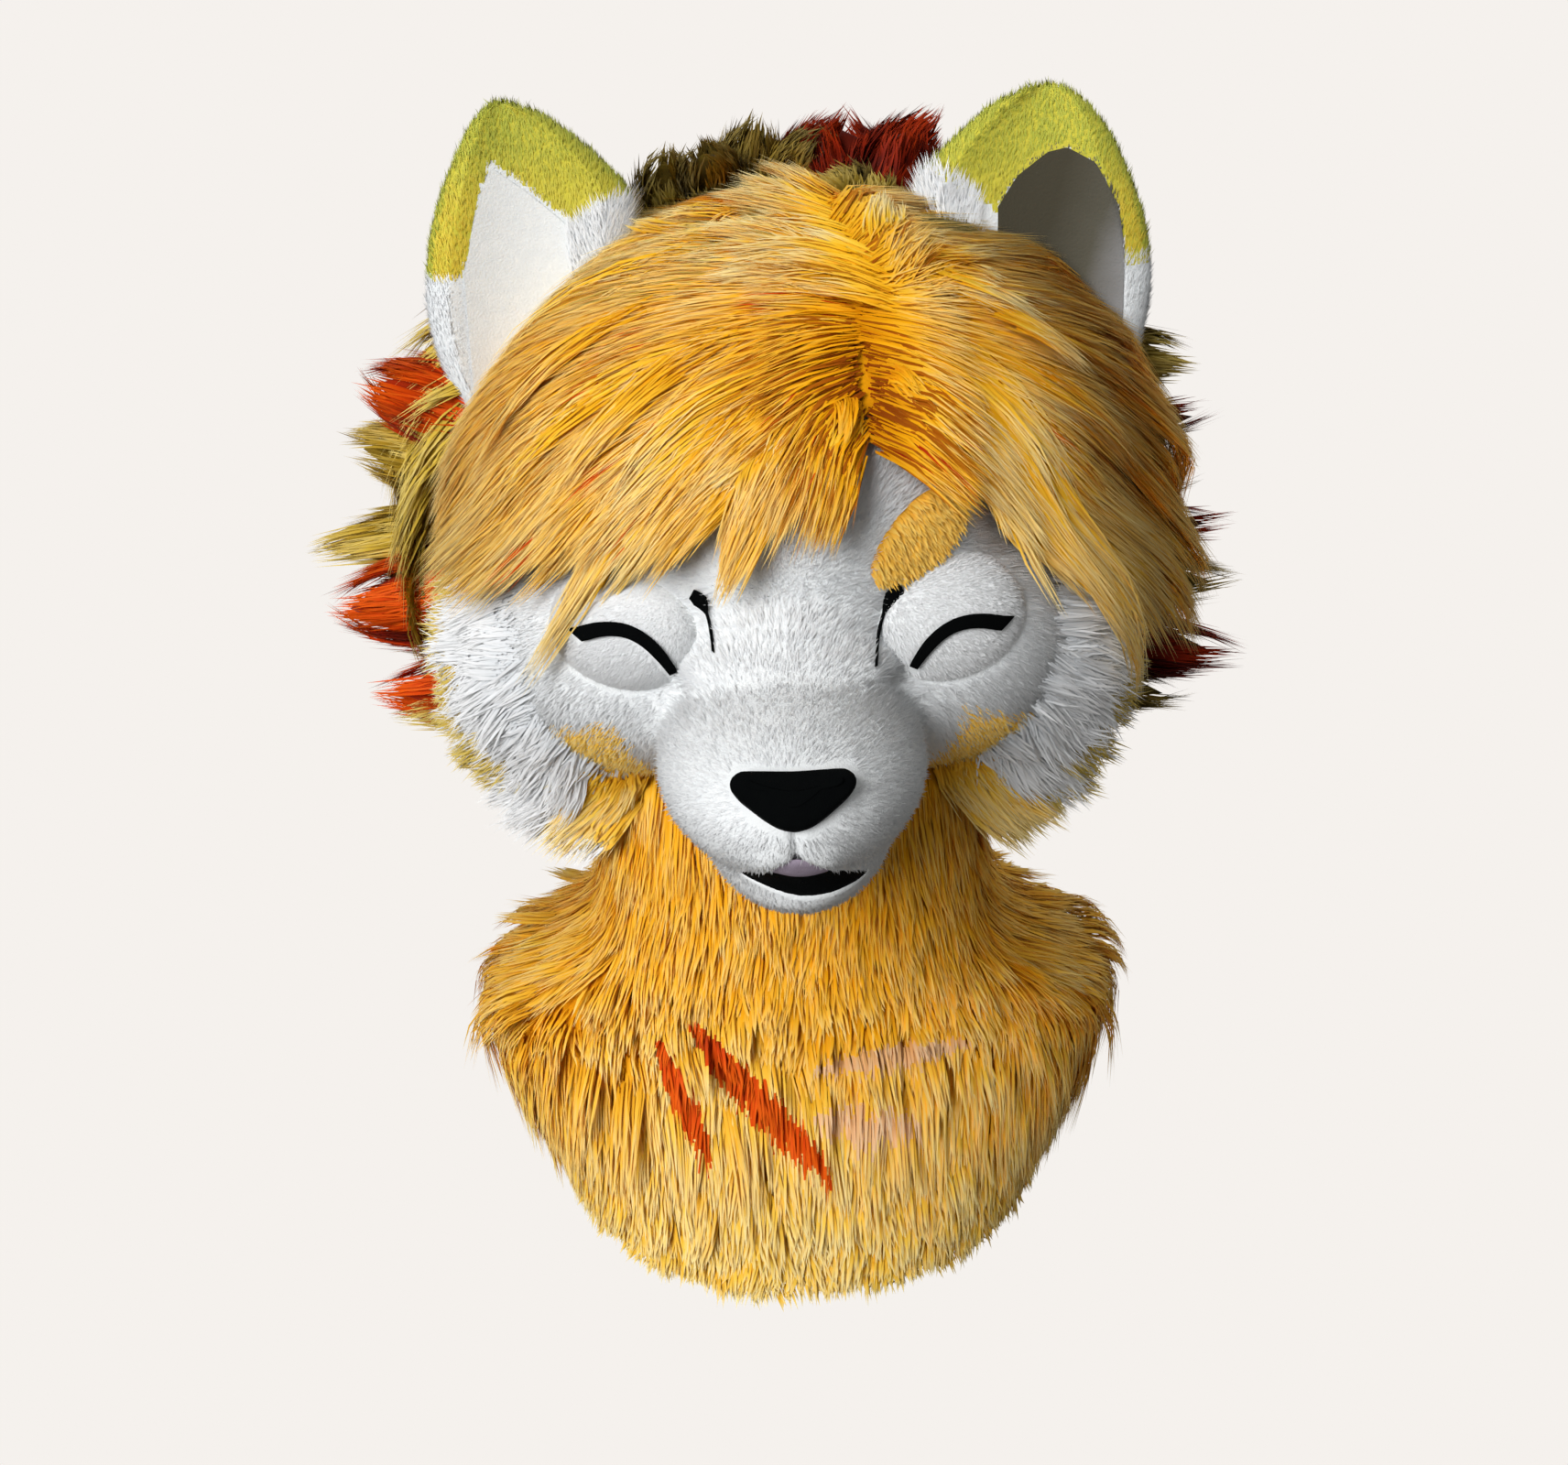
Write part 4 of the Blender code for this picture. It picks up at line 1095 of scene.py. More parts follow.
def curve_points(curve, share, side):
    """Points (x, z) on the cubic curve of four controls, mirrored where side is -1."""
    t = np.asarray(share)[..., None]
    a, b, c, d = (np.array(p, float) for p in curve)
    points = (1 - t) ** 3 * a + 3 * t * (1 - t) ** 2 * b + 3 * t * t * (1 - t) * c + t**3 * d
    return points * (side, 1)


def felt_strip(name, curve, side, half_width, lift, slant, material, inside, columns=48):
    """A felt strip laid on the face along a curve. Half widths go by place along it."""

    def surface(u, v):
        here = curve_points(curve, u, side)
        ahead = unit(curve_points(curve, u + 0.01, side) - curve_points(curve, u - 0.01, side))
        across = np.stack((-ahead[..., 1], ahead[..., 0]), -1)
        share, width_out, width_in = half_width
        out = np.interp(u, share, width_out)
        into = np.interp(u, share, width_in)
        spot = here + across * (side * (v * (out + into) - into))[..., None]
        spot = spot - ahead * (slant * (1 - v) * np.clip(1 - u / 0.14, 0, 1))[..., None]
        y = below_surface(spot[..., 0], spot[..., 1], inside)
        return np.stack((spot[..., 0], y - lift, spot[..., 1]), -1)

    piece = laid_sheet(name, surface, columns, 6, material)
    return piece


def face_disc(name, outline, lift, material, rings=6):
    """A filled patch laid on the face. Outline gives (x, z) by turn 0 to 1, and its middle."""
    middle = np.array(outline(np.linspace(0, 1, 24, endpoint=False))).mean(0)

    def surface(u, v):
        edge = outline(u)
        spot = middle + (edge - middle) * (0.02 + 0.98 * v)[..., None]
        y = below_surface(spot[..., 0], spot[..., 1], inside_head)
        return np.stack((spot[..., 0], y - lift(v), spot[..., 1]), -1)

    return laid_sheet(name, surface, 64, rings, material)


def brow_outline(turn):
    a = 2 * math.pi * np.asarray(turn)
    across = (BROW_HALF_WIDTH + BROW_FLARE * np.cos(a)) * np.sin(a)
    along = BROW_HALF_LENGTH * np.cos(a)
    return np.stack(turned(along, across, BROW_TURN), -1) + BROW_CENTRE


def in_brow(points):
    x = points[..., 0] - BROW_CENTRE[0]
    z = points[..., 2] - BROW_CENTRE[1]
    along, across = turned(x, z, -BROW_TURN)
    width = BROW_HALF_WIDTH + BROW_FLARE * along / BROW_HALF_LENGTH
    front = points[..., 1] < FRONT_Y
    return front & ((along / BROW_HALF_LENGTH) ** 2 + (across / width) ** 2 < 1)


def near_curve(points, curve, side, places):
    """True close to a felt strip's middle line."""
    line = curve_points(curve, places, side)
    gaps = np.linalg.norm(points[..., None, (0, 2)] - line, axis=-1).min(-1)
    return (gaps < FELT_REACH) & (points[..., 1] < FRONT_Y)


def in_nose(points):
    x = points[..., 0] / (NOSE_HALF_WIDTH + 0.5)
    z = (points[..., 2] - NOSE_CENTRE[2] + 1.5) / 11
    limit = np.interp(z, (-1, -0.5, 0.4, 1), (0.2, 0.62, 1.0, 0.85))
    return (np.abs(x) < limit) & (np.abs(z) < 1) & (points[..., 1] < -205)


def bare_face(points):
    """Where the face's plush gives way to felt, nose, mouth, brow or eye pad."""
    bare = in_nose(points) | in_brow(points) | in_eye_pad(points, 0.8)
    front = points[..., 1] < -190
    for ring in (MOUTH_RING, TONGUE_RING):
        bare |= front & (ring_depth(points[..., 0], points[..., 2], ring) > -0.5)
    for side in (-1, 1):
        bare |= near_curve(points, EYE_CORNERS[side], side, np.linspace(0, 0.45, 12))
    return bare


def nap(points, normals, comb, length, lean, width, steps=2):
    """Short pile: strands that leave the skin at a lean and bend over along the comb."""
    comb = comb - normals * (comb * normals).sum(-1, keepdims=True)
    comb = unit(comb + rng.normal(0, 0.16, comb.shape) * np.linalg.norm(comb, axis=-1).max())
    t = np.linspace(0, 1, steps)[None, :, None]
    rise = np.sin(lean)[:, None, None] * length[:, None, None] * t * (1.5 - 0.5 * t)
    run = np.cos(lean)[:, None, None] * length[:, None, None] * t * (0.6 + 0.4 * t)
    paths = points[:, None] + normals[:, None] * (rise - 0.4) + comb[:, None] * run
    facing = np.repeat(unit(normals + 0.1 * comb)[:, None], steps, 1)
    return paths, facing, np.full(len(points), width) * rng.uniform(0.7, 1.3, len(points))


# Finishes

fur_materials = {name: fur_material(name) for name in FURS}
plush_skin = backing_material("plush_skin", "e9edef", "f8fafa")
pad_fleece = backing_material("pad_fleece", "eef2f3", "fafcfc", 300)
ear_fleece = backing_material("ear_fleece", "e6eaec", "f4f7f8", 200)
painted_shadow_fleece = painted_shadow_fleece_material()
ear_backing = backing_material("ear_backing", "c8c444", "e2d450")
wig_backing = backing_material("wig_backing", "d88800", "f0a408")
pile_backings = {
    "mane": backing_material("mane_backing", "7c6214", "a3842a"),
    "red": backing_material("red_backing", "8c1c04", "b83408"),
    # Painted shade: the mane cloth darkened as in shadow.
    "olive": backing_material("shadowed_mane_backing", "4c3e10", "6c5a1e"),
    # Painted shade: the red cloth darkened as in shadow.
    "crest": backing_material("crest_backing", "3c0a02", "5c1404"),
}
bib_backing = backing_material("bib_backing", "d48600", "eca40c")
brow_backing = backing_material("brow_backing", "e8a830", "f8be44")
black_felt = felt_material("black_felt", "020304", "050707")
tongue_fleece = felt_material("tongue_fleece", "a294a6", "b6a8ba")
lining_cloth = felt_material("lining_cloth", "d8d4cc", "e6e2da")


# Head

skin_points = []
skin_faces = []


def build_head_skin():
    """The plush-covered foam head, with its lips, hollow and neck hole."""
    bm = bmesh.new()
    for centre, radii in SKIN_FORMS.values():
        place = Matrix.Translation(centre) @ Matrix.Diagonal((*radii, 1))
        bmesh.ops.create_icosphere(bm, subdivisions=4, radius=1, matrix=place)
    forms = finish(bm, "head_forms", plush_skin)
    joined = forms.modifiers.new("joined", "REMESH")
    joined.mode = "VOXEL"
    joined.voxel_size = SKIN_VOXEL * MM
    graph = bpy.context.evaluated_depsgraph_get()
    blended = bpy.data.meshes.new_from_object(forms.evaluated_get(graph))
    bpy.data.objects.remove(forms)

    bm = bmesh.new()
    bm.from_mesh(blended)
    bpy.data.meshes.remove(blended)
    bmesh.ops.scale(bm, vec=(1 / MM, 1 / MM, 1 / MM), verts=bm.verts)
    for _ in range(2):
        lips = [
            e
            for e in bm.edges
            if all(v.co.y < -186 and -206 < v.co.z < -152 and abs(v.co.x - 3) < 38 for v in e.verts)
        ]
        bmesh.ops.subdivide_edges(bm, edges=lips, cuts=1, use_grid_fill=True)
    for _ in range(2):
        bmesh.ops.smooth_vert(
            bm, verts=bm.verts, factor=0.5, use_axis_x=True, use_axis_y=True, use_axis_z=True
        )
        points = onto_skin(np.array([v.co for v in bm.verts], float))
        move_all(bm, points)
    bmesh.ops.triangulate(bm, faces=bm.faces)
    bm.verts.index_update()
    skin_faces.append(np.array([[v.index for v in f.verts] for f in bm.faces]))
    skin_points.append(points)
    move_all(bm, points + unit(skin_slope(points)) * skin_relief(points)[:, None])
    skin = finish(bm, "head_skin", plush_skin)

    bm = bmesh.new()
    bmesh.ops.create_uvsphere(bm, u_segments=48, v_segments=28, radius=1)
    bmesh.ops.scale(bm, vec=HOLLOW_RADII, verts=bm.verts)
    bmesh.ops.translate(bm, vec=HOLLOW_CENTRE, verts=bm.verts)
    hollow = finish(bm, "hollow_cutter", lining_cloth)
    bm = bmesh.new()
    bmesh.ops.create_cone(bm, cap_ends=True, segments=64, radius1=1, radius2=1, depth=1)
    bmesh.ops.scale(bm, vec=(*NECK_HOLE_RADII, 160), verts=bm.verts)
    bmesh.ops.translate(bm, vec=(0, 3, -235.5), verts=bm.verts)
    hole = finish(bm, "neck_cutter", lining_cloth)
    skin.data.materials.append(lining_cloth)
    for cutter in (hollow, hole):
        cut = skin.modifiers.new("cut", "BOOLEAN")
        cut.operation = "DIFFERENCE"
        cut.solver = "EXACT"
        cut.material_mode = "TRANSFER"
        cut.object = cutter
    graph = bpy.context.evaluated_depsgraph_get()
    mesh = bpy.data.meshes.new_from_object(skin.evaluated_get(graph))
    skin.modifiers.clear()
    skin.data = mesh
    mesh.name = "head_skin"
    for cutter in (hollow, hole):
        bpy.data.objects.remove(cutter)
    return dress(skin, "white_plush", "head_shell")


def skin_places(count, keep):
    """Even random places on the sewn head: points and outward unit normals."""
    corners = skin_points[0][skin_faces[0]]
    middles = corners.mean(1)
    corners = corners[keep(middles, 6)]
    sides = np.cross(corners[:, 1] - corners[:, 0], corners[:, 2] - corners[:, 0])
    area = np.linalg.norm(sides, axis=-1)
    picked = rng.choice(len(area), count, p=area / area.sum())
    a, b = rng.uniform(0, 1, (2, count, 1))
    over = a + b > 1
    a, b = np.where(over, 1 - a, a), np.where(over, 1 - b, b)
    first, second, third = (corners[picked, c] for c in range(3))
    points = onto_skin(first + (second - first) * a + (third - first) * b, 2)
    points = points[keep(points, 0)]
    normals = unit(skin_slope(points))
    return points + normals * skin_relief(points)[:, None], normals


def build_face_plush():
    """Short white pile over the face, combed away from the nose, yellow at the jaw's edges."""

    def keep(points, grow):
        azimuth = azimuth_of(points)
        elevation = elevation_of(points)
        edge = np.interp(elevation, (-60, -42, -28, -8, 10), (58, 55, 62, 72, 80)) + grow
        low, _high, _lift = cap_edge(CAP_LEFT, azimuth)
        low = np.where(azimuth > 15, cap_edge(CAP_RIGHT, azimuth)[0], low)
        shown = (np.abs(azimuth) < edge) & (elevation < low + 9 + grow)
        shown &= np.linalg.norm((points - HOLLOW_CENTRE)[:, :2], axis=-1) > NECK_HOLE_RADII[0] - 20
        return shown & (~bare_face(points) | (grow > 0))

    points, normals = skin_places(105000, keep)
    away = unit(points - (0, -242, -140))
    down = np.zeros_like(points)
    down[:, 2] = -0.9 * smooth_between(np.abs(points[:, 0]), 45, 110)
    on_muzzle = smooth_between(-points[:, 1], 150, 190)
    near_mouth = smooth_between(-points[:, 1], 190, 205) * smooth_between(-points[:, 2], 160, 170)
    crease = np.exp(-(((points[:, 2] + 121) / 9) ** 2) - (points[:, 0] / 45) ** 2)
    length = 5.2 - 1.4 * on_muzzle - 1.2 * near_mouth - 1.6 * crease + rng.normal(0, 0.4, len(points))
    lean = np.radians(rng.normal(20, 4, len(points)))
    paths, facing, width = nap(points, normals, away + down, length, lean, 1.0)
    azimuth = azimuth_of(points)
    elevation = elevation_of(points)
    ragged = rng.normal(0, 1.0, len(points))
    jaw = (np.abs(azimuth + ragged) > 32) & (elevation < -21 - 0.25 * (np.abs(azimuth) - 34) + ragged)
    furs = np.where(jaw, "bib", "white")
    tones = np.clip(0.6 + rng.normal(0, 0.14, len(points)), 0, 1)
    tones = np.where(jaw, 0.85, tones)
    facing = np.where(jaw[:, None, None], unit(facing + 0.6 * FRONT_LEFT), facing)
    strands("face_plush", "white_plush", paths, facing, width, tones, furs, 0.08)


def build_brow():
    patch = face_disc("brow_patch", brow_outline, lambda v: 1.6 * (1 - v**6), brow_backing)
    dress(patch, "brow_fur", "brow_mark")

    def keep(points, grow):
        near = np.abs(points[:, 0] - BROW_CENTRE[0]) < 30
        near &= np.abs(points[:, 2] - BROW_CENTRE[1]) < 30
        return near & (points[:, 1] < FRONT_Y) & (in_brow(points) | (grow > 0))

    points, normals = skin_places(6000, keep)
    comb = unit(np.array((0.5, 0.1, -1.0))) + np.zeros_like(points)
    length = rng.normal(6, 0.6, len(points))
    lean = np.radians(rng.normal(24, 6, len(points)))
    paths, facing, width = nap(points + normals * 1.2, normals, comb, length, lean, 1.2, 3)
    facing = unit(facing + 0.6 * FRONT_LEFT)
    tones = np.clip(rng.normal(0.5, 0.3, len(points)), 0, 1)
    strands("brow_plush", "brow_fur", paths, facing, width, tones, ["brow"] * len(points))


def build_eyes():
    """Padded closed lids with their lash lines, and the dark felt at their inner corners."""
    for side, name in SIDES:
        surface = eye_pad_surface(side)
        bm = bmesh.new()
        bmesh.ops.create_uvsphere(bm, u_segments=64, v_segments=36, radius=1)
        ways = np.array([v.co for v in bm.verts])
        u = np.arctan2(ways[:, 0], -ways[:, 1]) / (2 * math.pi)
        v = np.arcsin(np.clip(ways[:, 2], -1, 1)) / math.pi + 0.5
        move_all(bm, surface(u, v))
        pad = finish(bm, "eye_lid_" + name, pad_fleece)
        dress(pad, "eyelid_fleece", "eye_pad_" + name)

        def keep(points, side=side):
            shown = ~inside_head(points + np.array((0, 1.5, 0)))
            return shown & ~near_curve(points, EYE_LINES[side], side, np.linspace(0, 1, 24))

        _u, _v, points, normals, _dv = scatter(surface, 14000, (-0.27, 0.27), (0.06, 0.94), keep)
        normals *= np.sign((normals * (points - eye_centre(side))).sum(-1, keepdims=True))
        comb = unit(np.array((side * 0.7, 0.3, -0.5))) + np.zeros_like(points)
        length = rng.normal(2.8, 0.3, len(points))
        lean = np.radians(rng.normal(24, 6, len(points)))
        paths, facing, width = nap(points, normals, comb, length, lean, 0.9)
        tones = np.clip(rng.normal(0.8, 0.15, len(points)), 0, 1)
        if side > 0:
            facing = unit(facing + 0.55 * FRONT_LEFT)
        rough = 0.06 if side < 0 else 0.2
        furs = ["white"] * len(points)
        strands("eye_lid_nap_" + name, "eyelid_fleece", paths, facing, width, tones, furs, rough)

        widths = ((0, 0.06, 0.3, 0.8, 1), (2.6, 3.0, 3.0, 2.6, 1.9), (4.2, 3.5, 3.0, 2.6, 1.9))
        line = felt_strip(
            "lash_line_" + name, EYE_LINES[side], side, widths, 1.9, 3.6, black_felt, inside_face
        )
        thicken(line, 1.4, 0)
        dress(line, "black_felt", "eye_line_" + name)
        widths = ((0, 0.28, 0.42, 0.56, 1), (2.2, 3.2, 1.9, 0.4, 0.25), (2.2, 3.2, 1.9, 0.4, 0.25))
        corner = felt_strip(
            "lid_corner_" + name, EYE_CORNERS[side], side, widths, 3.0, 0.0, black_felt, inside_head
        )
        thicken(corner, 1.6, 0)
        dress(corner, "black_felt", "eye_rim_" + name)


def build_nose():
    """A flat felt-covered nose with rounded edges, fuller in the middle."""
    bm = bmesh.new()
    bmesh.ops.create_circle(bm, cap_ends=True, segments=len(NOSE_PROFILE), radius=1)
    ring = sorted(bm.verts, key=lambda v: -math.atan2(v.co.x, v.co.y))
    profile = sorted(NOSE_PROFILE, key=lambda p: -math.atan2(p[0], p[1]))
    for vert, (x, z) in zip(ring, profile):
        vert.co = (x * NOSE_HALF_WIDTH, NOSE_THICKNESS / 2, z * NOSE_HEIGHT)
    made = bmesh.ops.extrude_face_region(bm, geom=bm.faces[:])
    front = [g for g in made["geom"] if isinstance(g, bmesh.types.BMVert)]
    bmesh.ops.translate(bm, vec=(0, -NOSE_THICKNESS, 0), verts=front)
    bmesh.ops.recalc_face_normals(bm, faces=bm.faces)
    rims = [e for e in bm.edges if abs(e.verts[0].co.y - e.verts[1].co.y) < 1]
    bmesh.ops.bevel(
        bm,
        geom=rims + [e for e in bm.edges if e not in rims],
        offset=3.4,
        affect="EDGES",
        segments=3,
        profile=0.5,
        material=-1,
    )
    face = [max(bm.faces, key=lambda f: -f.normal.y * f.calc_area())]
    for thickness, rise in ((3.5, 1.1), (3.5, 0.7), (2.5, 0.2)):
        bmesh.ops.inset_region(bm, faces=face, thickness=thickness, depth=0)
        inner = {v for f in face for v in f.verts}
        bmesh.ops.translate(bm, vec=(0, -rise, 0), verts=list(inner))
    turn = Matrix.Rotation(math.radians(-NOSE_TILT), 4, "X")
    bmesh.ops.transform(bm, matrix=Matrix.Translation(Vector(NOSE_CENTRE)) @ turn, verts=bm.verts)
    nose = finish(bm, "nose_felt", black_felt)
    soft = nose.modifiers.new("soft", "SUBSURF")
    soft.levels = 2
    soft.render_levels = 2
    dress(nose, "black_felt", "nose")


def build_mouth():
    """Black felt in the smile, and the tongue that shows in the notch above it."""

    def smile(turn):
        return round_ring(MOUTH_RING, turn)

    def notch(turn):
        return round_ring(TONGUE_RING, turn)

    lining = face_disc("mouth_felt", smile, lambda v: -0.9, black_felt, 8)
    dress(lining, "black_felt", "mouth_lining")
    tongue = face_disc("tongue_pad", notch, lambda v: 1.4 * (1 - v**4) - 0.8, tongue_fleece, 8)
    dress(tongue, "tongue_fleece", "tongue")


# Ears


def above_band(points, side):
    """How far a point lies above the lower edge of an ear's coloured band."""
    return points[..., 2] - np.interp(np.abs(points[..., 0]), *EAR_BANDS[side])


def ear_zone(points, front, side):
    """Lime round the tip and the rim, then yellow, and white below and inside."""
    x = np.abs(points[..., 0])
    z = points[..., 2]
    rows = ear_rows(side)
    levels = [r.z for r in rows]
    middle = np.interp(z, levels, [(r.outer + r.inner) / 2 for r in rows])
    half = np.interp(z, levels, [(r.outer - r.inner) / 2 for r in rows])
    rim = (x - middle) / half
    band = above_band(points, side) > rng.normal(0, 0.9, x.shape)
    band = np.where(front, band, z > 22 + rng.normal(0, 1.2, x.shape))
    fade = smooth_between(z, 96 if side < 0 else 84, 40) + rng.normal(0, 0.16, x.shape)
    fade = np.where(rim < 0, fade * 0.55 + 0.1, fade)
    edge = np.abs(rim) + rng.normal(0, 0.02, x.shape) > 0.93
    fade = np.where(edge | ~front, 0.0, fade)
    return band, np.clip(fade, 0, 1)


def build_ears():
    for side, name in SIDES:
        surface = ear_surface(side)
        ear = laid_sheet("ear_form_" + name, surface, 72, 48, ear_fleece)
        ear.data.materials.append(ear_backing)
        for face in ear.data.polygons:
            centre = np.array(face.center) / MM
            inset = 3 if side < 0 else -2
            above = above_band(centre, side) - inset if face.normal.y < 0 else centre[2] - 25
            face.material_index = int(above > 0)
        dress(ear, "ear_plush", "ear_" + name)

        def keep(points):
            return ~inside_head(points)

        u, v, points, normals, _dv = scatter(surface, 29000, (0.001, 0.999), (0.0, 0.985), keep)
        row = table_at(ear_rows(side), v)
        middle = np.stack((side * (row[:, 1] + row[:, 2]) / 2, np.full(len(u), EAR_Y), points[:, 2]), -1)
        from_middle = points - middle
        front = u < 0.6
        dished = front & (np.abs(np.cos(math.pi * u / 0.6)) < EAR_DISH_SHARE)
        sign = np.sign((normals * from_middle).sum(-1))
        sign = np.where(front, np.where(normals[:, 1] > 0, -1, 1), sign)
        normals *= sign[:, None]
        comb = np.zeros_like(points)
        comb[:, 2] = 1
        band, fade = ear_zone(points, front, side)
        dished &= ~band
        foot = front & ~band & (np.abs(points[:, 0]) < 97) & (points[:, 2] > 18)
        length = np.where(dished, 2.2, 4.6) + rng.normal(0, 0.3, len(u))
        length = np.where(foot, rng.normal(9, 1.5, len(u)), length)
        lean = np.radians(np.where(foot, 38, 20) + rng.normal(0, 6, len(u)))
        paths, facing, width = nap(points, normals, comb, length, lean, 1.2)
        tones = np.where(band, fade, np.clip(rng.normal(0.7, 0.12, len(u)), 0, 1))
        furs = np.where(band, "lime", "white")
        # Painted shadow: dark grey nap across the right ear's hollow in place of white.
        if side > 0:
            inside = front & (np.abs(points[:, 0]) > 106) & (np.abs(points[:, 0]) < 163)
            furs = np.where(inside & ~band, "grey", furs)
        strands("ear_nap_" + name, "ear_plush", paths, facing, width, tones, furs, 0.08)

        def panel(u, v, side=side):
            x = np.interp(u, (0, 1), {-1: (147, 96), 1: (164, 105)}[side])
            band = np.interp(x, *EAR_BANDS[side])
            z = -42 + (band + 41) * v
            rows = ear_rows(side)
            outer, inner, depth = (
                np.interp(z, [r.z for r in rows], [r[c] for r in rows]) for c in (1, 2, 3)
            )
            half = (outer - inner) / 2
            across = np.clip(((outer + inner) / 2 - x) / half, -0.8, 0.8)
            y = EAR_Y + ear_dish(across, depth) - depth / 2 * np.sqrt(1 - across**2)
            return np.stack((side * ((outer + inner) / 2 - across * half), y - 1.2, z), -1)

        # The right ear's lining carries a painted shadow; the left one is plain white.
        lining = laid_sheet("ear_panel_" + name, panel, 32, 36, (ear_fleece, painted_shadow_fleece)[side > 0])
        dress(lining, "ear_fleece", "ear_lining_" + name)


# Long fur


def clump_tones(clump, count, base, spread=0.22, own=0.12):
    """Tones that differ from clump to clump more than from strand to strand."""
    each = rng.normal(0, spread, count)
    return np.clip(base + each[clump] + rng.normal(0, own, len(clump)), 0, 1)


def cap_roots(table, other, count, low_margin):
    """Even directions over a cap, above its low edge by a margin and clear of the other cap."""

    def keep(points):
        azimuth = azimuth_of(points)
        elevation = elevation_of(points)
        low, high, _lift = cap_edge(table, azimuth)
        margin = np.interp(azimuth, (7.9, 8, 18.9, 19, 36, 36.1), (low_margin, 1, 1, 5, 5, low_margin))
        inside = (elevation > low + margin) & (elevation < high)
        if other is not None:
            span = (azimuth > other[0].azimuth) & (azimuth < other[-1].azimuth)
            inside &= ~(span & (elevation < cap_edge(other, azimuth)[1] - 1))
        else:
            inside &= (azimuth > table[0].azimuth) & (azimuth < table[-1].azimuth)
        return inside

    _u, _v, points, _n, _dv = spaced(head_surface, count, (0, 1), (0.45, 1), keep)
    return unit(points - HEAD_CENTRE)


def part_paths(side, guides):
    """Clumps rooted along the parting, which hide it under hair swept to one side."""
    t = np.linspace(0, 1, 84) ** 1.15
    azimuth, elevation = (np.interp(t, np.linspace(0, 1, len(PARTING)), c) for c in np.array(PARTING).T)
    crossing = 5.5 * smooth_between(elevation, 40, 52) / np.cos(np.radians(elevation))
    azimuth = azimuth + side * (rng.uniform(0.2, 3.5, len(t)) - crossing * 0.5)
    elevation = elevation - side * (rng.uniform(-1.5, 1.5, len(t)) - 1.5) * (azimuth > 30)
    return follow(guides, direction(azimuth, elevation), 56, 8, 7, 10)


def toward_light(points, facing):
    """Turns the fur beside the right of the brow forwards, as raised pile shows there."""
    azimuth = azimuth_of(points)
    share = smooth_between(azimuth, 16, 26) * smooth_between(azimuth, 78, 36)
    return unit(facing + 0.75 * share[..., None] * FRONT_LEFT)


def layered(locks, each):
    """The locks of a table, and shorter, narrower ones laid over them."""
    made = list(locks)
    for lock in locks:
        root, tip = (direction(lock[k], lock[k + 1]) for k in (0, 2))
        for _ in range(each if root @ tip < 0.8 else 0):
            reach = rng.uniform(0.55, 0.9)
            root_az, root_el, tip_az, tip_el = np.array(lock[:4]) + rng.normal(0, (2.5, 2, 5, 4))
            turn = (tip_az - root_az + 180) % 360 - 180
            tip = (root_az + turn * reach, root_el + (tip_el - root_el) * reach)
            lift = lock.lift * reach**2 + rng.uniform(3, 7)
            made.append(Strand(root_az, root_el, *tip, lift, rng.uniform(14, 22)))
    return tuple(made)


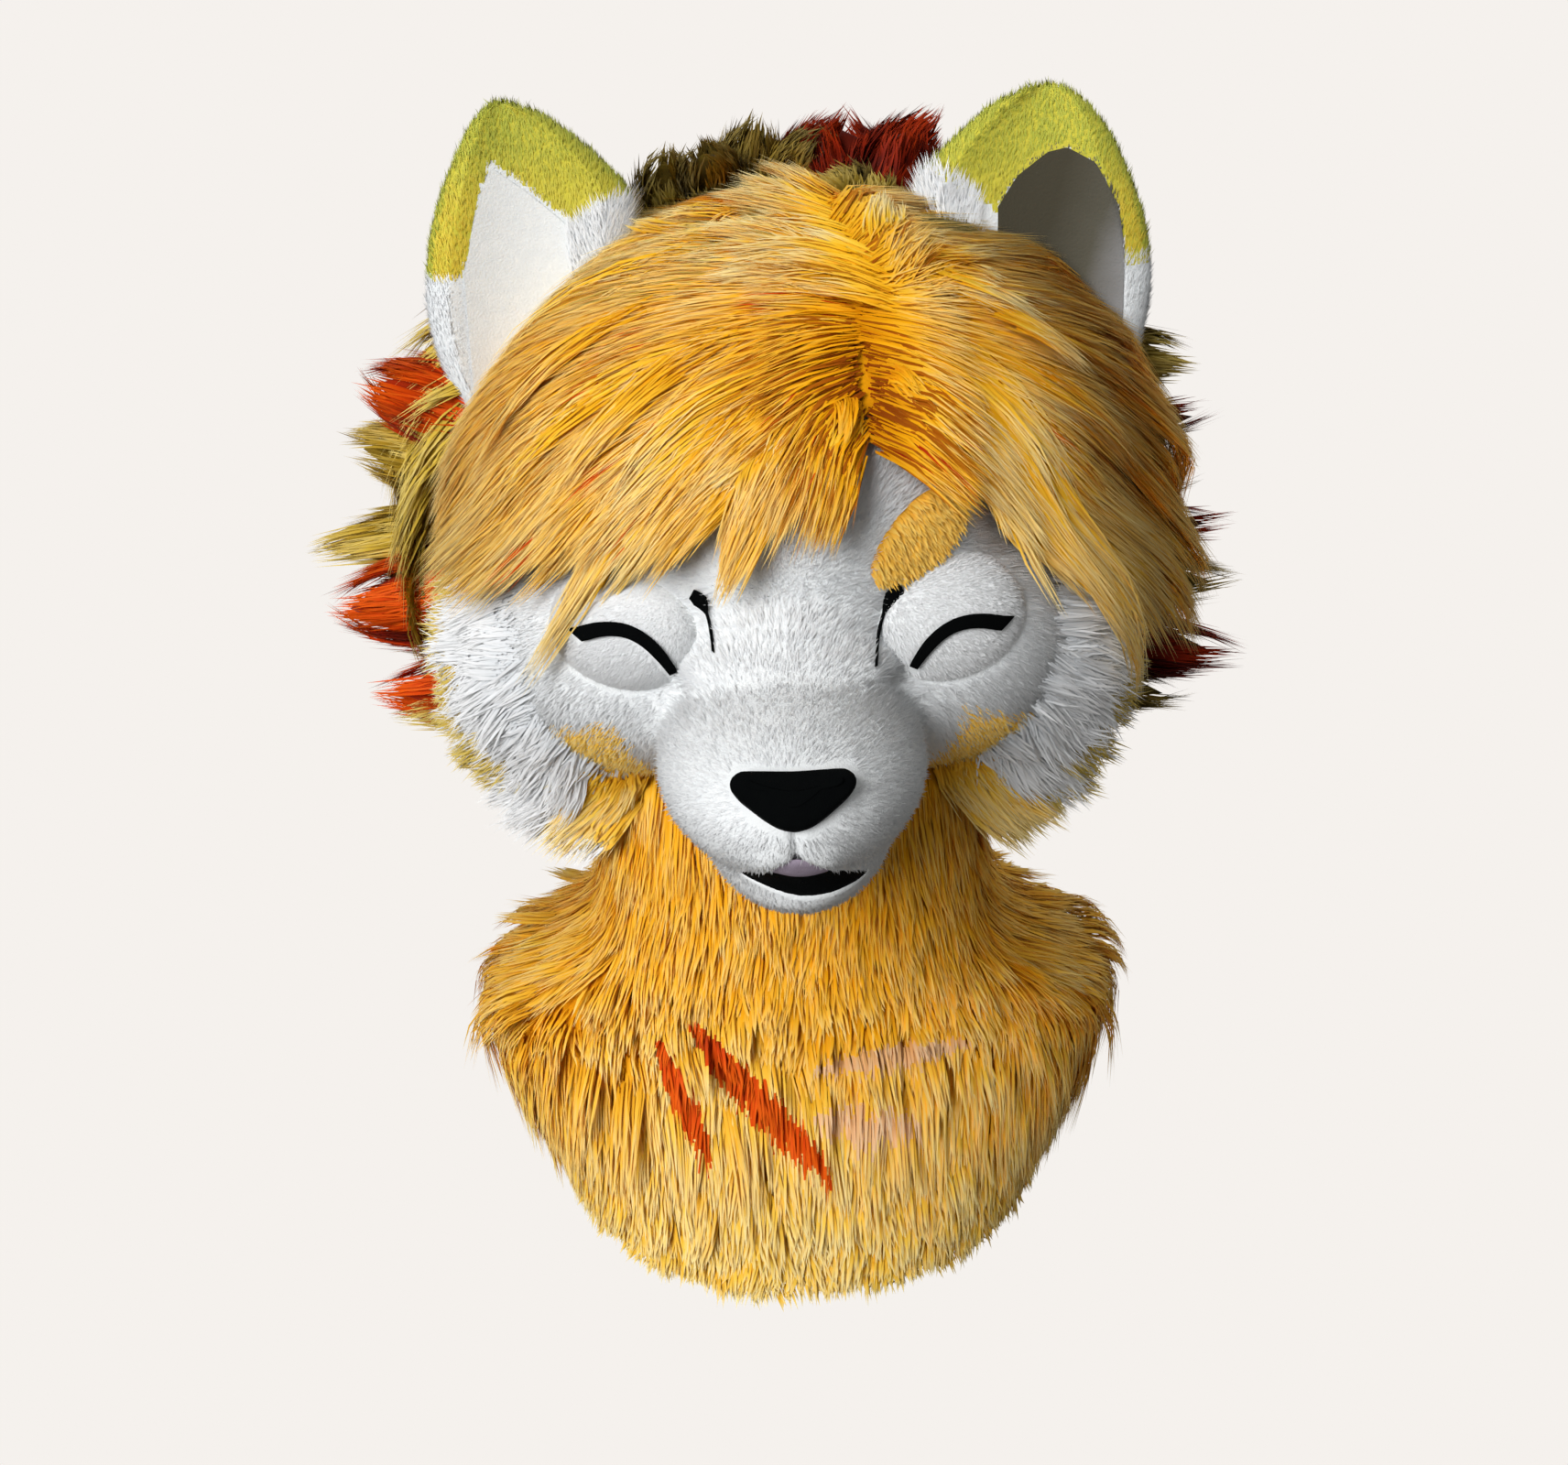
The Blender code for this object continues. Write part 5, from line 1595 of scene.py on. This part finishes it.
def build_bangs():
    """The long fringe: two swept caps of orange pile with pale tips, parted off centre."""
    sides = (
        ("left", -1, CAP_LEFT, CAP_RIGHT, LOCKS_LEFT + LOCKS_CROWN, 560, LOCKS_LEFT + TUFTS_CROWN),
        ("right", 1, CAP_RIGHT, None, LOCKS_RIGHT, 300, LOCKS_RIGHT),
    )
    for name, side, table, other, guides, cover, locks in sides:
        start, end = (table[0].azimuth, table[0].azimuth + 360) if other else (16.5, 105)
        edges = [
            row._replace(low=row.low + 3, high=row.high + 5) if row.azimuth < 45 else row for row in table
        ]
        if other:
            edges = [
                row._replace(low=row.low - 7, lift=0.5) if 12 < row.azimuth < 112 else row for row in table
            ]
        laid = cap_surface(edges, start, end, 4.5 if other else 3.6)
        backing = laid_sheet("bangs_backing_" + name, laid, 72, 18, wig_backing, v_span=(0, 0.93))
        thicken(backing, 1.5)
        dress(backing, "wig_fur", "bangs_" + name)

        flow = flow_guides(guides)
        ways = cap_roots(table, other, cover, 13)
        paths, outs = follow(flow, ways, 66, 8, 5, 9)
        part, part_outs = part_paths(side, flow)
        paths = np.concatenate((paths, part))
        outs = np.concatenate((outs, part_outs))
        radii = rng.uniform(6.5, 10.5, len(paths))
        points, facing, clump = tuft(paths, outs, radii, FILLS["fringe"])
        facing = toward_light(points, facing)
        height = elevation_of(points[:, 0])
        azimuth = azimuth_of(points[:, 0])
        base = 0.5 - 0.25 * smooth_between(height, 25, 50) * (azimuth > -60)
        base += 0.35 * smooth_between(height, 54, 66)
        # Painted light: the right fringe beside the brow is made paler, as if lit from the front.
        base += 0.35 * (azimuth > 22) * smooth_between(azimuth, 62, 34) * smooth_between(height, 52, 36)
        # Round the parting the tones run deeper: its roots are deeper orange, and painted shade darkens its
        # hollow.
        part = np.exp(-(((azimuth - 17) / 7) ** 2) - ((height - 38) / 11) ** 2)
        broad = 0.12 * np.sin(azimuth * 0.31 + 1.3 * np.sin(height * 0.12)) + 0.08 * np.sin(height * 0.37)
        tones = np.clip(clump_tones(clump, len(paths), base + broad, 0.1, 0.08) - 0.7 * part, 0, 1)
        furs = np.full(len(points), "wig", dtype="<U8")
        chance = rng.uniform(0, 1, len(paths))[clump]
        thin = rng.uniform(0, 1, len(points)) < 0.4
        furs[thin & (chance < 0.03) & (azimuth > -45) & (azimuth < 60) & (height < 56)] = "red"
        furs[thin & (chance > 0.9) & (azimuth > -60) & (azimuth < 80)] = "shade"
        # Darker strands fill the parting: deeper orange roots and painted shade in its hollow.
        furs[(rng.uniform(0, 1, len(points)) < 0.75 * part) & (azimuth < 24)] = "shade"
        # Painted shade: the back of the crown beyond the parting takes the darkened mane yellow.
        behind = smooth_between(height, 60, 68) * (azimuth > 12) * (azimuth < 175)
        furs[rng.uniform(0, 1, len(points)) < 0.95 * behind * (side < 0)] = "olive"
        furs[(rng.uniform(0, 1, len(points)) < 0.2) & (height > 58) & (azimuth < 12)] = "mane"
        width = rng.uniform(0.9, 1.5, len(points))
        strands(f"bangs_{name}_cover", "wig_fur", points, facing, width, tones, furs, 0.07)

        locks = layered(locks, 2)
        paths, outs = zip(*(lock_paths(s, int(s.width * 0.4)) for s in locks))
        shade = np.repeat(rng.normal(0.66, 0.16, len(paths)), [len(p) for p in paths])
        paths = np.concatenate(paths)
        outs = np.concatenate(outs)
        radii = rng.uniform(5, 8.5, len(paths))
        points, facing, clump = tuft(paths, outs, radii, FILLS["fringe_lock"])
        facing = toward_light(points, facing)
        height = elevation_of(points[:, 0])
        azimuth = azimuth_of(points[:, 0])
        # Round the parting the locks run deeper too: deeper orange roots and painted shade.
        part = np.exp(-(((azimuth - 17) / 9) ** 2) - ((height - 36) / 12) ** 2)
        pale = 0.3 * smooth_between(height, 52, 64)
        tones = clump_tones(clump, len(paths), shade[clump] + pale - 0.7 * part, 0.08, 0.08)
        width = rng.uniform(0.8, 1.4, len(points))
        furs = np.full(len(points), "wig", dtype="<U8")
        chance = rng.uniform(0, 1, len(paths))[clump]
        furs[(chance > 0.93) & (rng.uniform(0, 1, len(points)) < 0.4)] = "shade"
        strands(f"bangs_{name}_locks", "wig_fur", points, facing, width, tones, furs, 0.07)


def build_cheeks():
    for side, name in SIDES:
        surface = panel_surface(CHEEK, side, False)
        cloth = panel_surface(CHEEK, side, False, 4)
        backing = laid_sheet("cheek_backing_" + name, cloth, 40, 20, plush_skin, v_span=(0, 0.72))
        thicken(backing, 1.5, 0)
        dress(backing, "cheek_fur", "cheek_fur_" + name)
        u, v, _p, _n, _dv = spaced(surface, 250, (0, 1), (-0.14, 0.7))
        count = len(u)
        low = 1.5 + 5.5 * smooth_between(v, -0.14, 0.16)
        rise = (4 + 11 * rng.uniform(0, 1, count) ** 2)[:, None]
        paths, outs = down_paths(surface, u, v, 44, 8, low[:, None], rise, rng.normal(0, 0.04, count), 1.0)
        radii = rng.uniform(5.5, 9, count)
        points, facing, clump = tuft(paths, outs, radii, FILLS["cheek"])
        tones = clump_tones(clump, count, 0.9, 0.1)
        facing = unit(facing + 0.5 * np.array((0, -1, 0.3)))
        ragged = v + rng.normal(0, 0.05, count)
        low = np.where(u < 0.6, ragged > 0.32, ragged > (2 if side < 0 else 0.55))
        yellow = low[clump] & (rng.uniform(0, 1, len(clump)) < 0.75)
        furs = np.where(yellow, "mane", "white")
        joining = (u + rng.normal(0, 0.03, count) > 0.76) & (v < 0.6)
        furs = np.where(joining[clump], "bib", furs)
        width = rng.uniform(0.8, 1.5, len(points))
        strands("cheek_long_fur_" + name, "cheek_fur", points, facing, width, tones, furs)


def build_mane():
    surface = panel_surface(MANE, 1, True)
    cloth = panel_surface(MANE, 1, True, 3)
    backing = laid_sheet("mane_backing_cloth", cloth, 64, 24, pile_backings["mane"])
    thicken(backing, 1.5)
    dress(backing, "mane_fur", "mane")
    u, v, _p, _n, _dv = spaced(surface, 640, (0, 1), (0.0, 0.96))
    count = len(u)
    rise = (7 + 12 * rng.uniform(0, 1, count) ** 2)[:, None]
    paths, outs = down_paths(surface, u, v, 58, 8, 6, rise, rng.normal(0, 0.012, count))
    radii = rng.uniform(7, 11, count)
    points, facing, clump = tuft(paths, outs, radii, FILLS["mane"])
    # Painted light: the mane is paler on its left side, towards the key light.
    base = 0.45 + 0.4 * smooth_between(-points[:, 0, 0], 60, 110)
    tones = clump_tones(clump, count, base, 0.16)
    width = rng.uniform(1.0, 1.7, len(points))
    strands("mane_long_fur", "mane_fur", points, facing, width, tones, ["mane"] * len(points))

    build_standing_locks("mane_tufts", YELLOW_LOCKS, "mane", "mane_fur")
    # The crest and right side's yellow locks take the darkened mane yellow: painted shade.
    build_standing_locks("crest_tufts", SHADED_MANE_LOCKS, "olive", "mane_fur")
    build_standing_locks("crest_red_tufts", CREST_LOCKS, "crest", "red_fur")
    # Red locks on the right and the crest take the darkened red: painted shade.
    for name, lock in RED_LOCKS.items():
        fur = "red" if "left" in name else "crest"
        build_standing_locks(name + "_tuft", (lock,), fur, "red_fur", name)


def build_standing_locks(name, locks, fur, slot, *nodes):
    """Flame-shaped tufts: a soft core with strands that fan to a ragged edge and a point."""
    places = np.linspace(0, 1, 8)
    paths = []
    outs = []
    for lock in locks:
        count = int(lock.width * 0.95)
        u = rng.uniform(0, 1, count)
        first = rng.uniform(0.0, 0.5, count)
        last = np.clip(first + rng.uniform(0.34, 0.62, count), 0, 1.0)
        share = first[:, None] + (last - first)[:, None] * places
        turn = np.repeat(u[:, None], len(places), 1)
        spots = lock_surface(lock, 0.95)(turn, share)
        out = unit(spots - lock_surface(lock, 0.0)(turn, share) + 1e-6)
        fan = (rng.uniform(1, 7, count)[:, None] * places**1.5)[..., None]
        paths.append(spots + out * fan)
        outs.append(out)
    paths = np.concatenate(paths)
    outs = np.concatenate(outs)
    radii = rng.uniform(5.5, 9.5, len(paths))
    points, facing, clump = tuft(paths, outs, radii, FILLS["standing"])
    # Painted shade: the darkened palettes also take deeper tones.
    shade = 0.6 if fur in ("mane", "red") else 0.4
    tones = clump_tones(clump, len(paths), shade, 0.16)
    width = rng.uniform(1.2, 2.1, len(points))
    strands(name + "_fur", slot, points, facing, width, tones, [fur] * len(points))
    for k, lock in enumerate(locks):
        core = lock_surface(lock, 0.84, 0.86)
        made = laid_sheet(f"{name}_core_{k}", core, 16, 10, pile_backings[fur])
        dress(made, slot, *nodes)


def in_slash(points, slash, ragged):
    """True where a front point lies in a lens-shaped slash."""
    ax, az, bx, bz, half = slash
    dx, dz = bx - ax, bz - az
    length = math.hypot(dx, dz)
    x = points[..., 0] - ax
    z = points[..., 2] + (points[..., 1] - SLASH_DEPTH) * SLASH_SLOPE - az
    along = (x * dx + z * dz) / length**2
    across = np.abs(x * dz - z * dx) / length
    inside = (along > 0) & (along < 1)
    width = half * np.sin(math.pi * np.clip(along, 0, 1)) ** 0.6
    return inside & (across < width + ragged) & (points[..., 1] < FRONT_Y)


def build_bib():
    """The neck tube and bib: dense pile laid downwards, paler towards a ragged hem."""

    def cloth(u, v):
        return bib_surface(u, v, -8.0)

    backing = laid_sheet("bib_cloth", cloth, 72, 28, bib_backing, v_span=(0, 0.97))
    thicken(backing, 2.5)
    dress(backing, "bib_fur", "bib")
    u, v, _p, _n, _dv = spaced(bib_surface, 1650, (0, 1), (0.0, 0.97))
    count = len(u)
    end = 0.975 + 0.04 * np.cos(2 * math.pi * u)
    shoulder = smooth_between(v, 0.3, 0.42) * smooth_between(v, 0.66, 0.5)
    rise = (3 + (7 + 14 * shoulder) * rng.uniform(0, 1, count) ** 3)[:, None]
    plumb = 0.9 * smooth_between(np.abs(np.cos(2 * math.pi * u)), 0.3, 0.7)
    drift = rng.normal(0, 0.004, count)
    paths, outs = down_paths(bib_surface, u, v, 44, 8, -4, rise, drift, end, plumb)
    marked = (np.abs(paths[:, 4, 0]) < 95) & (paths[:, 0, 1] < 0) & (v > 0.3) & (v < 0.85)
    for name, chosen in (("bib_long_fur", ~marked), ("bib_marked_fur", marked)):
        lay_bib_fur(name, paths[chosen], outs[chosen])


def lay_bib_fur(name, paths, outs):
    count = len(paths)
    radii = rng.uniform(7, 11, count)
    points, facing, clump = tuft(paths, outs, radii, FILLS[name])
    around = unit(points * (1, 1, 0) + (0, 0, 30))
    facing = unit(facing + 1.4 * around)
    height = points[:, 0, 2]
    base = np.interp(-height, (180, 290, 340, 400, 460), (0.12, 0.25, 0.55, 0.85, 1.0))
    tones = clump_tones(clump, count, base, 0.14)
    middles = (points[:, :-1] + points[:, 1:]) / 2
    furs = np.full(middles.shape[:2], "bib", dtype="<U8")
    ragged = rng.normal(0, 0.5, furs.shape)
    for streak in PEACH_STREAKS:
        furs[in_slash(middles, streak, ragged)] = "peach"
    for slash in SLASHES:
        furs[in_slash(middles, slash, ragged)] = "red"
    tones = np.where((furs == "red").any(1), 0.75, tones)
    width = rng.uniform(1.1, 2.0, len(points))
    strands(name, "bib_fur", points, facing, width, tones, furs, 0.08)


# Studio


def build_stage():
    """A plain pale floor and soft studio light from the front left."""
    bm = bmesh.new()
    bmesh.ops.create_grid(bm, x_segments=8, y_segments=8, size=200)
    bmesh.ops.translate(bm, vec=(0, 0, -2.2), verts=bm.verts)
    mesh = bpy.data.meshes.new("floor")
    bm.to_mesh(mesh)
    bm.free()
    pale, tree, shader = new_material("pale_floor", 0.95, specular=0.0)
    seen = tree.nodes.new("ShaderNodeLightPath").outputs["Is Camera Ray"]
    lit = (0.16, 0.155, 0.15, 1)
    tree.links.new(mixed(tree, seen, lit, (0, 0, 0, 1)), shader.inputs["Base Color"])
    tree.links.new(mixed(tree, seen, (0, 0, 0, 1), paint("f5f1ed")), shader.inputs["Emission Color"])
    shader.inputs["Emission Strength"].default_value = 1
    new_piece("floor", mesh, pale)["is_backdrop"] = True

    world = bpy.data.worlds.new("studio")
    world.use_nodes = True
    background = world.node_tree.nodes["Background"]
    seen = world.node_tree.nodes.new("ShaderNodeLightPath")
    shade = mixed(
        world.node_tree, seen.outputs["Is Camera Ray"], (0.2, 0.2, 0.195, 1), paint("f5f1ed")
    )
    world.node_tree.links.new(shade, background.inputs[0])
    bpy.context.scene.world = world
    for name, azimuth, elevation, strength, angle in (
        ("key", -31, 27, 3.0, 34),
        ("back_fill", 155, 40, 0.8, 40),
    ):
        lamp = bpy.data.lights.new(name, "SUN")
        lamp.energy = strength
        lamp.angle = math.radians(angle)
        light = bpy.data.objects.new(name, lamp)
        light.rotation_euler = Vector(
            direction(np.array(float(azimuth)), np.array(float(elevation)))
        ).to_track_quat("Z", "Y").to_euler()
        bpy.context.scene.collection.objects.link(light)


def build_camera():
    """The photograph's view: from the front, a little above, slightly rolled."""
    target = Vector((-3, -150, -150)) * MM
    distance = 0.88
    photo_width = 1712
    focal_pixels = 2196
    elevation = math.radians(22)
    roll = math.radians(1.8)
    ahead = Vector((0, math.cos(elevation), -math.sin(elevation)))
    right = Vector((1, 0, 0))
    up = right.cross(ahead)
    turned_right = right * math.cos(roll) - up * math.sin(roll)
    turned_up = up * math.cos(roll) + right * math.sin(roll)
    lens = bpy.data.cameras.new("camera")
    lens.sensor_width = 36
    lens.lens = lens.sensor_width * focal_pixels / photo_width
    lens.clip_end = 200
    camera = bpy.data.objects.new("camera", lens)
    turn = Matrix((turned_right, turned_up, -ahead)).transposed().to_4x4()
    camera.matrix_world = Matrix.Translation(target - ahead * distance) @ turn
    bpy.context.scene.collection.objects.link(camera)
    bpy.context.scene.camera = camera
    bpy.context.scene.view_settings.view_transform = "Standard"


build_head_skin()
build_face_plush()
build_brow()
build_eyes()
build_nose()
build_mouth()
build_ears()
build_bangs()
build_cheeks()
build_mane()
build_bib()
build_stage()
build_camera()


def corners(box):
    return [[round(c, 5) for c in corner] for corner in box]


{"cad": corners(cad_box), "visual": corners(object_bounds())}
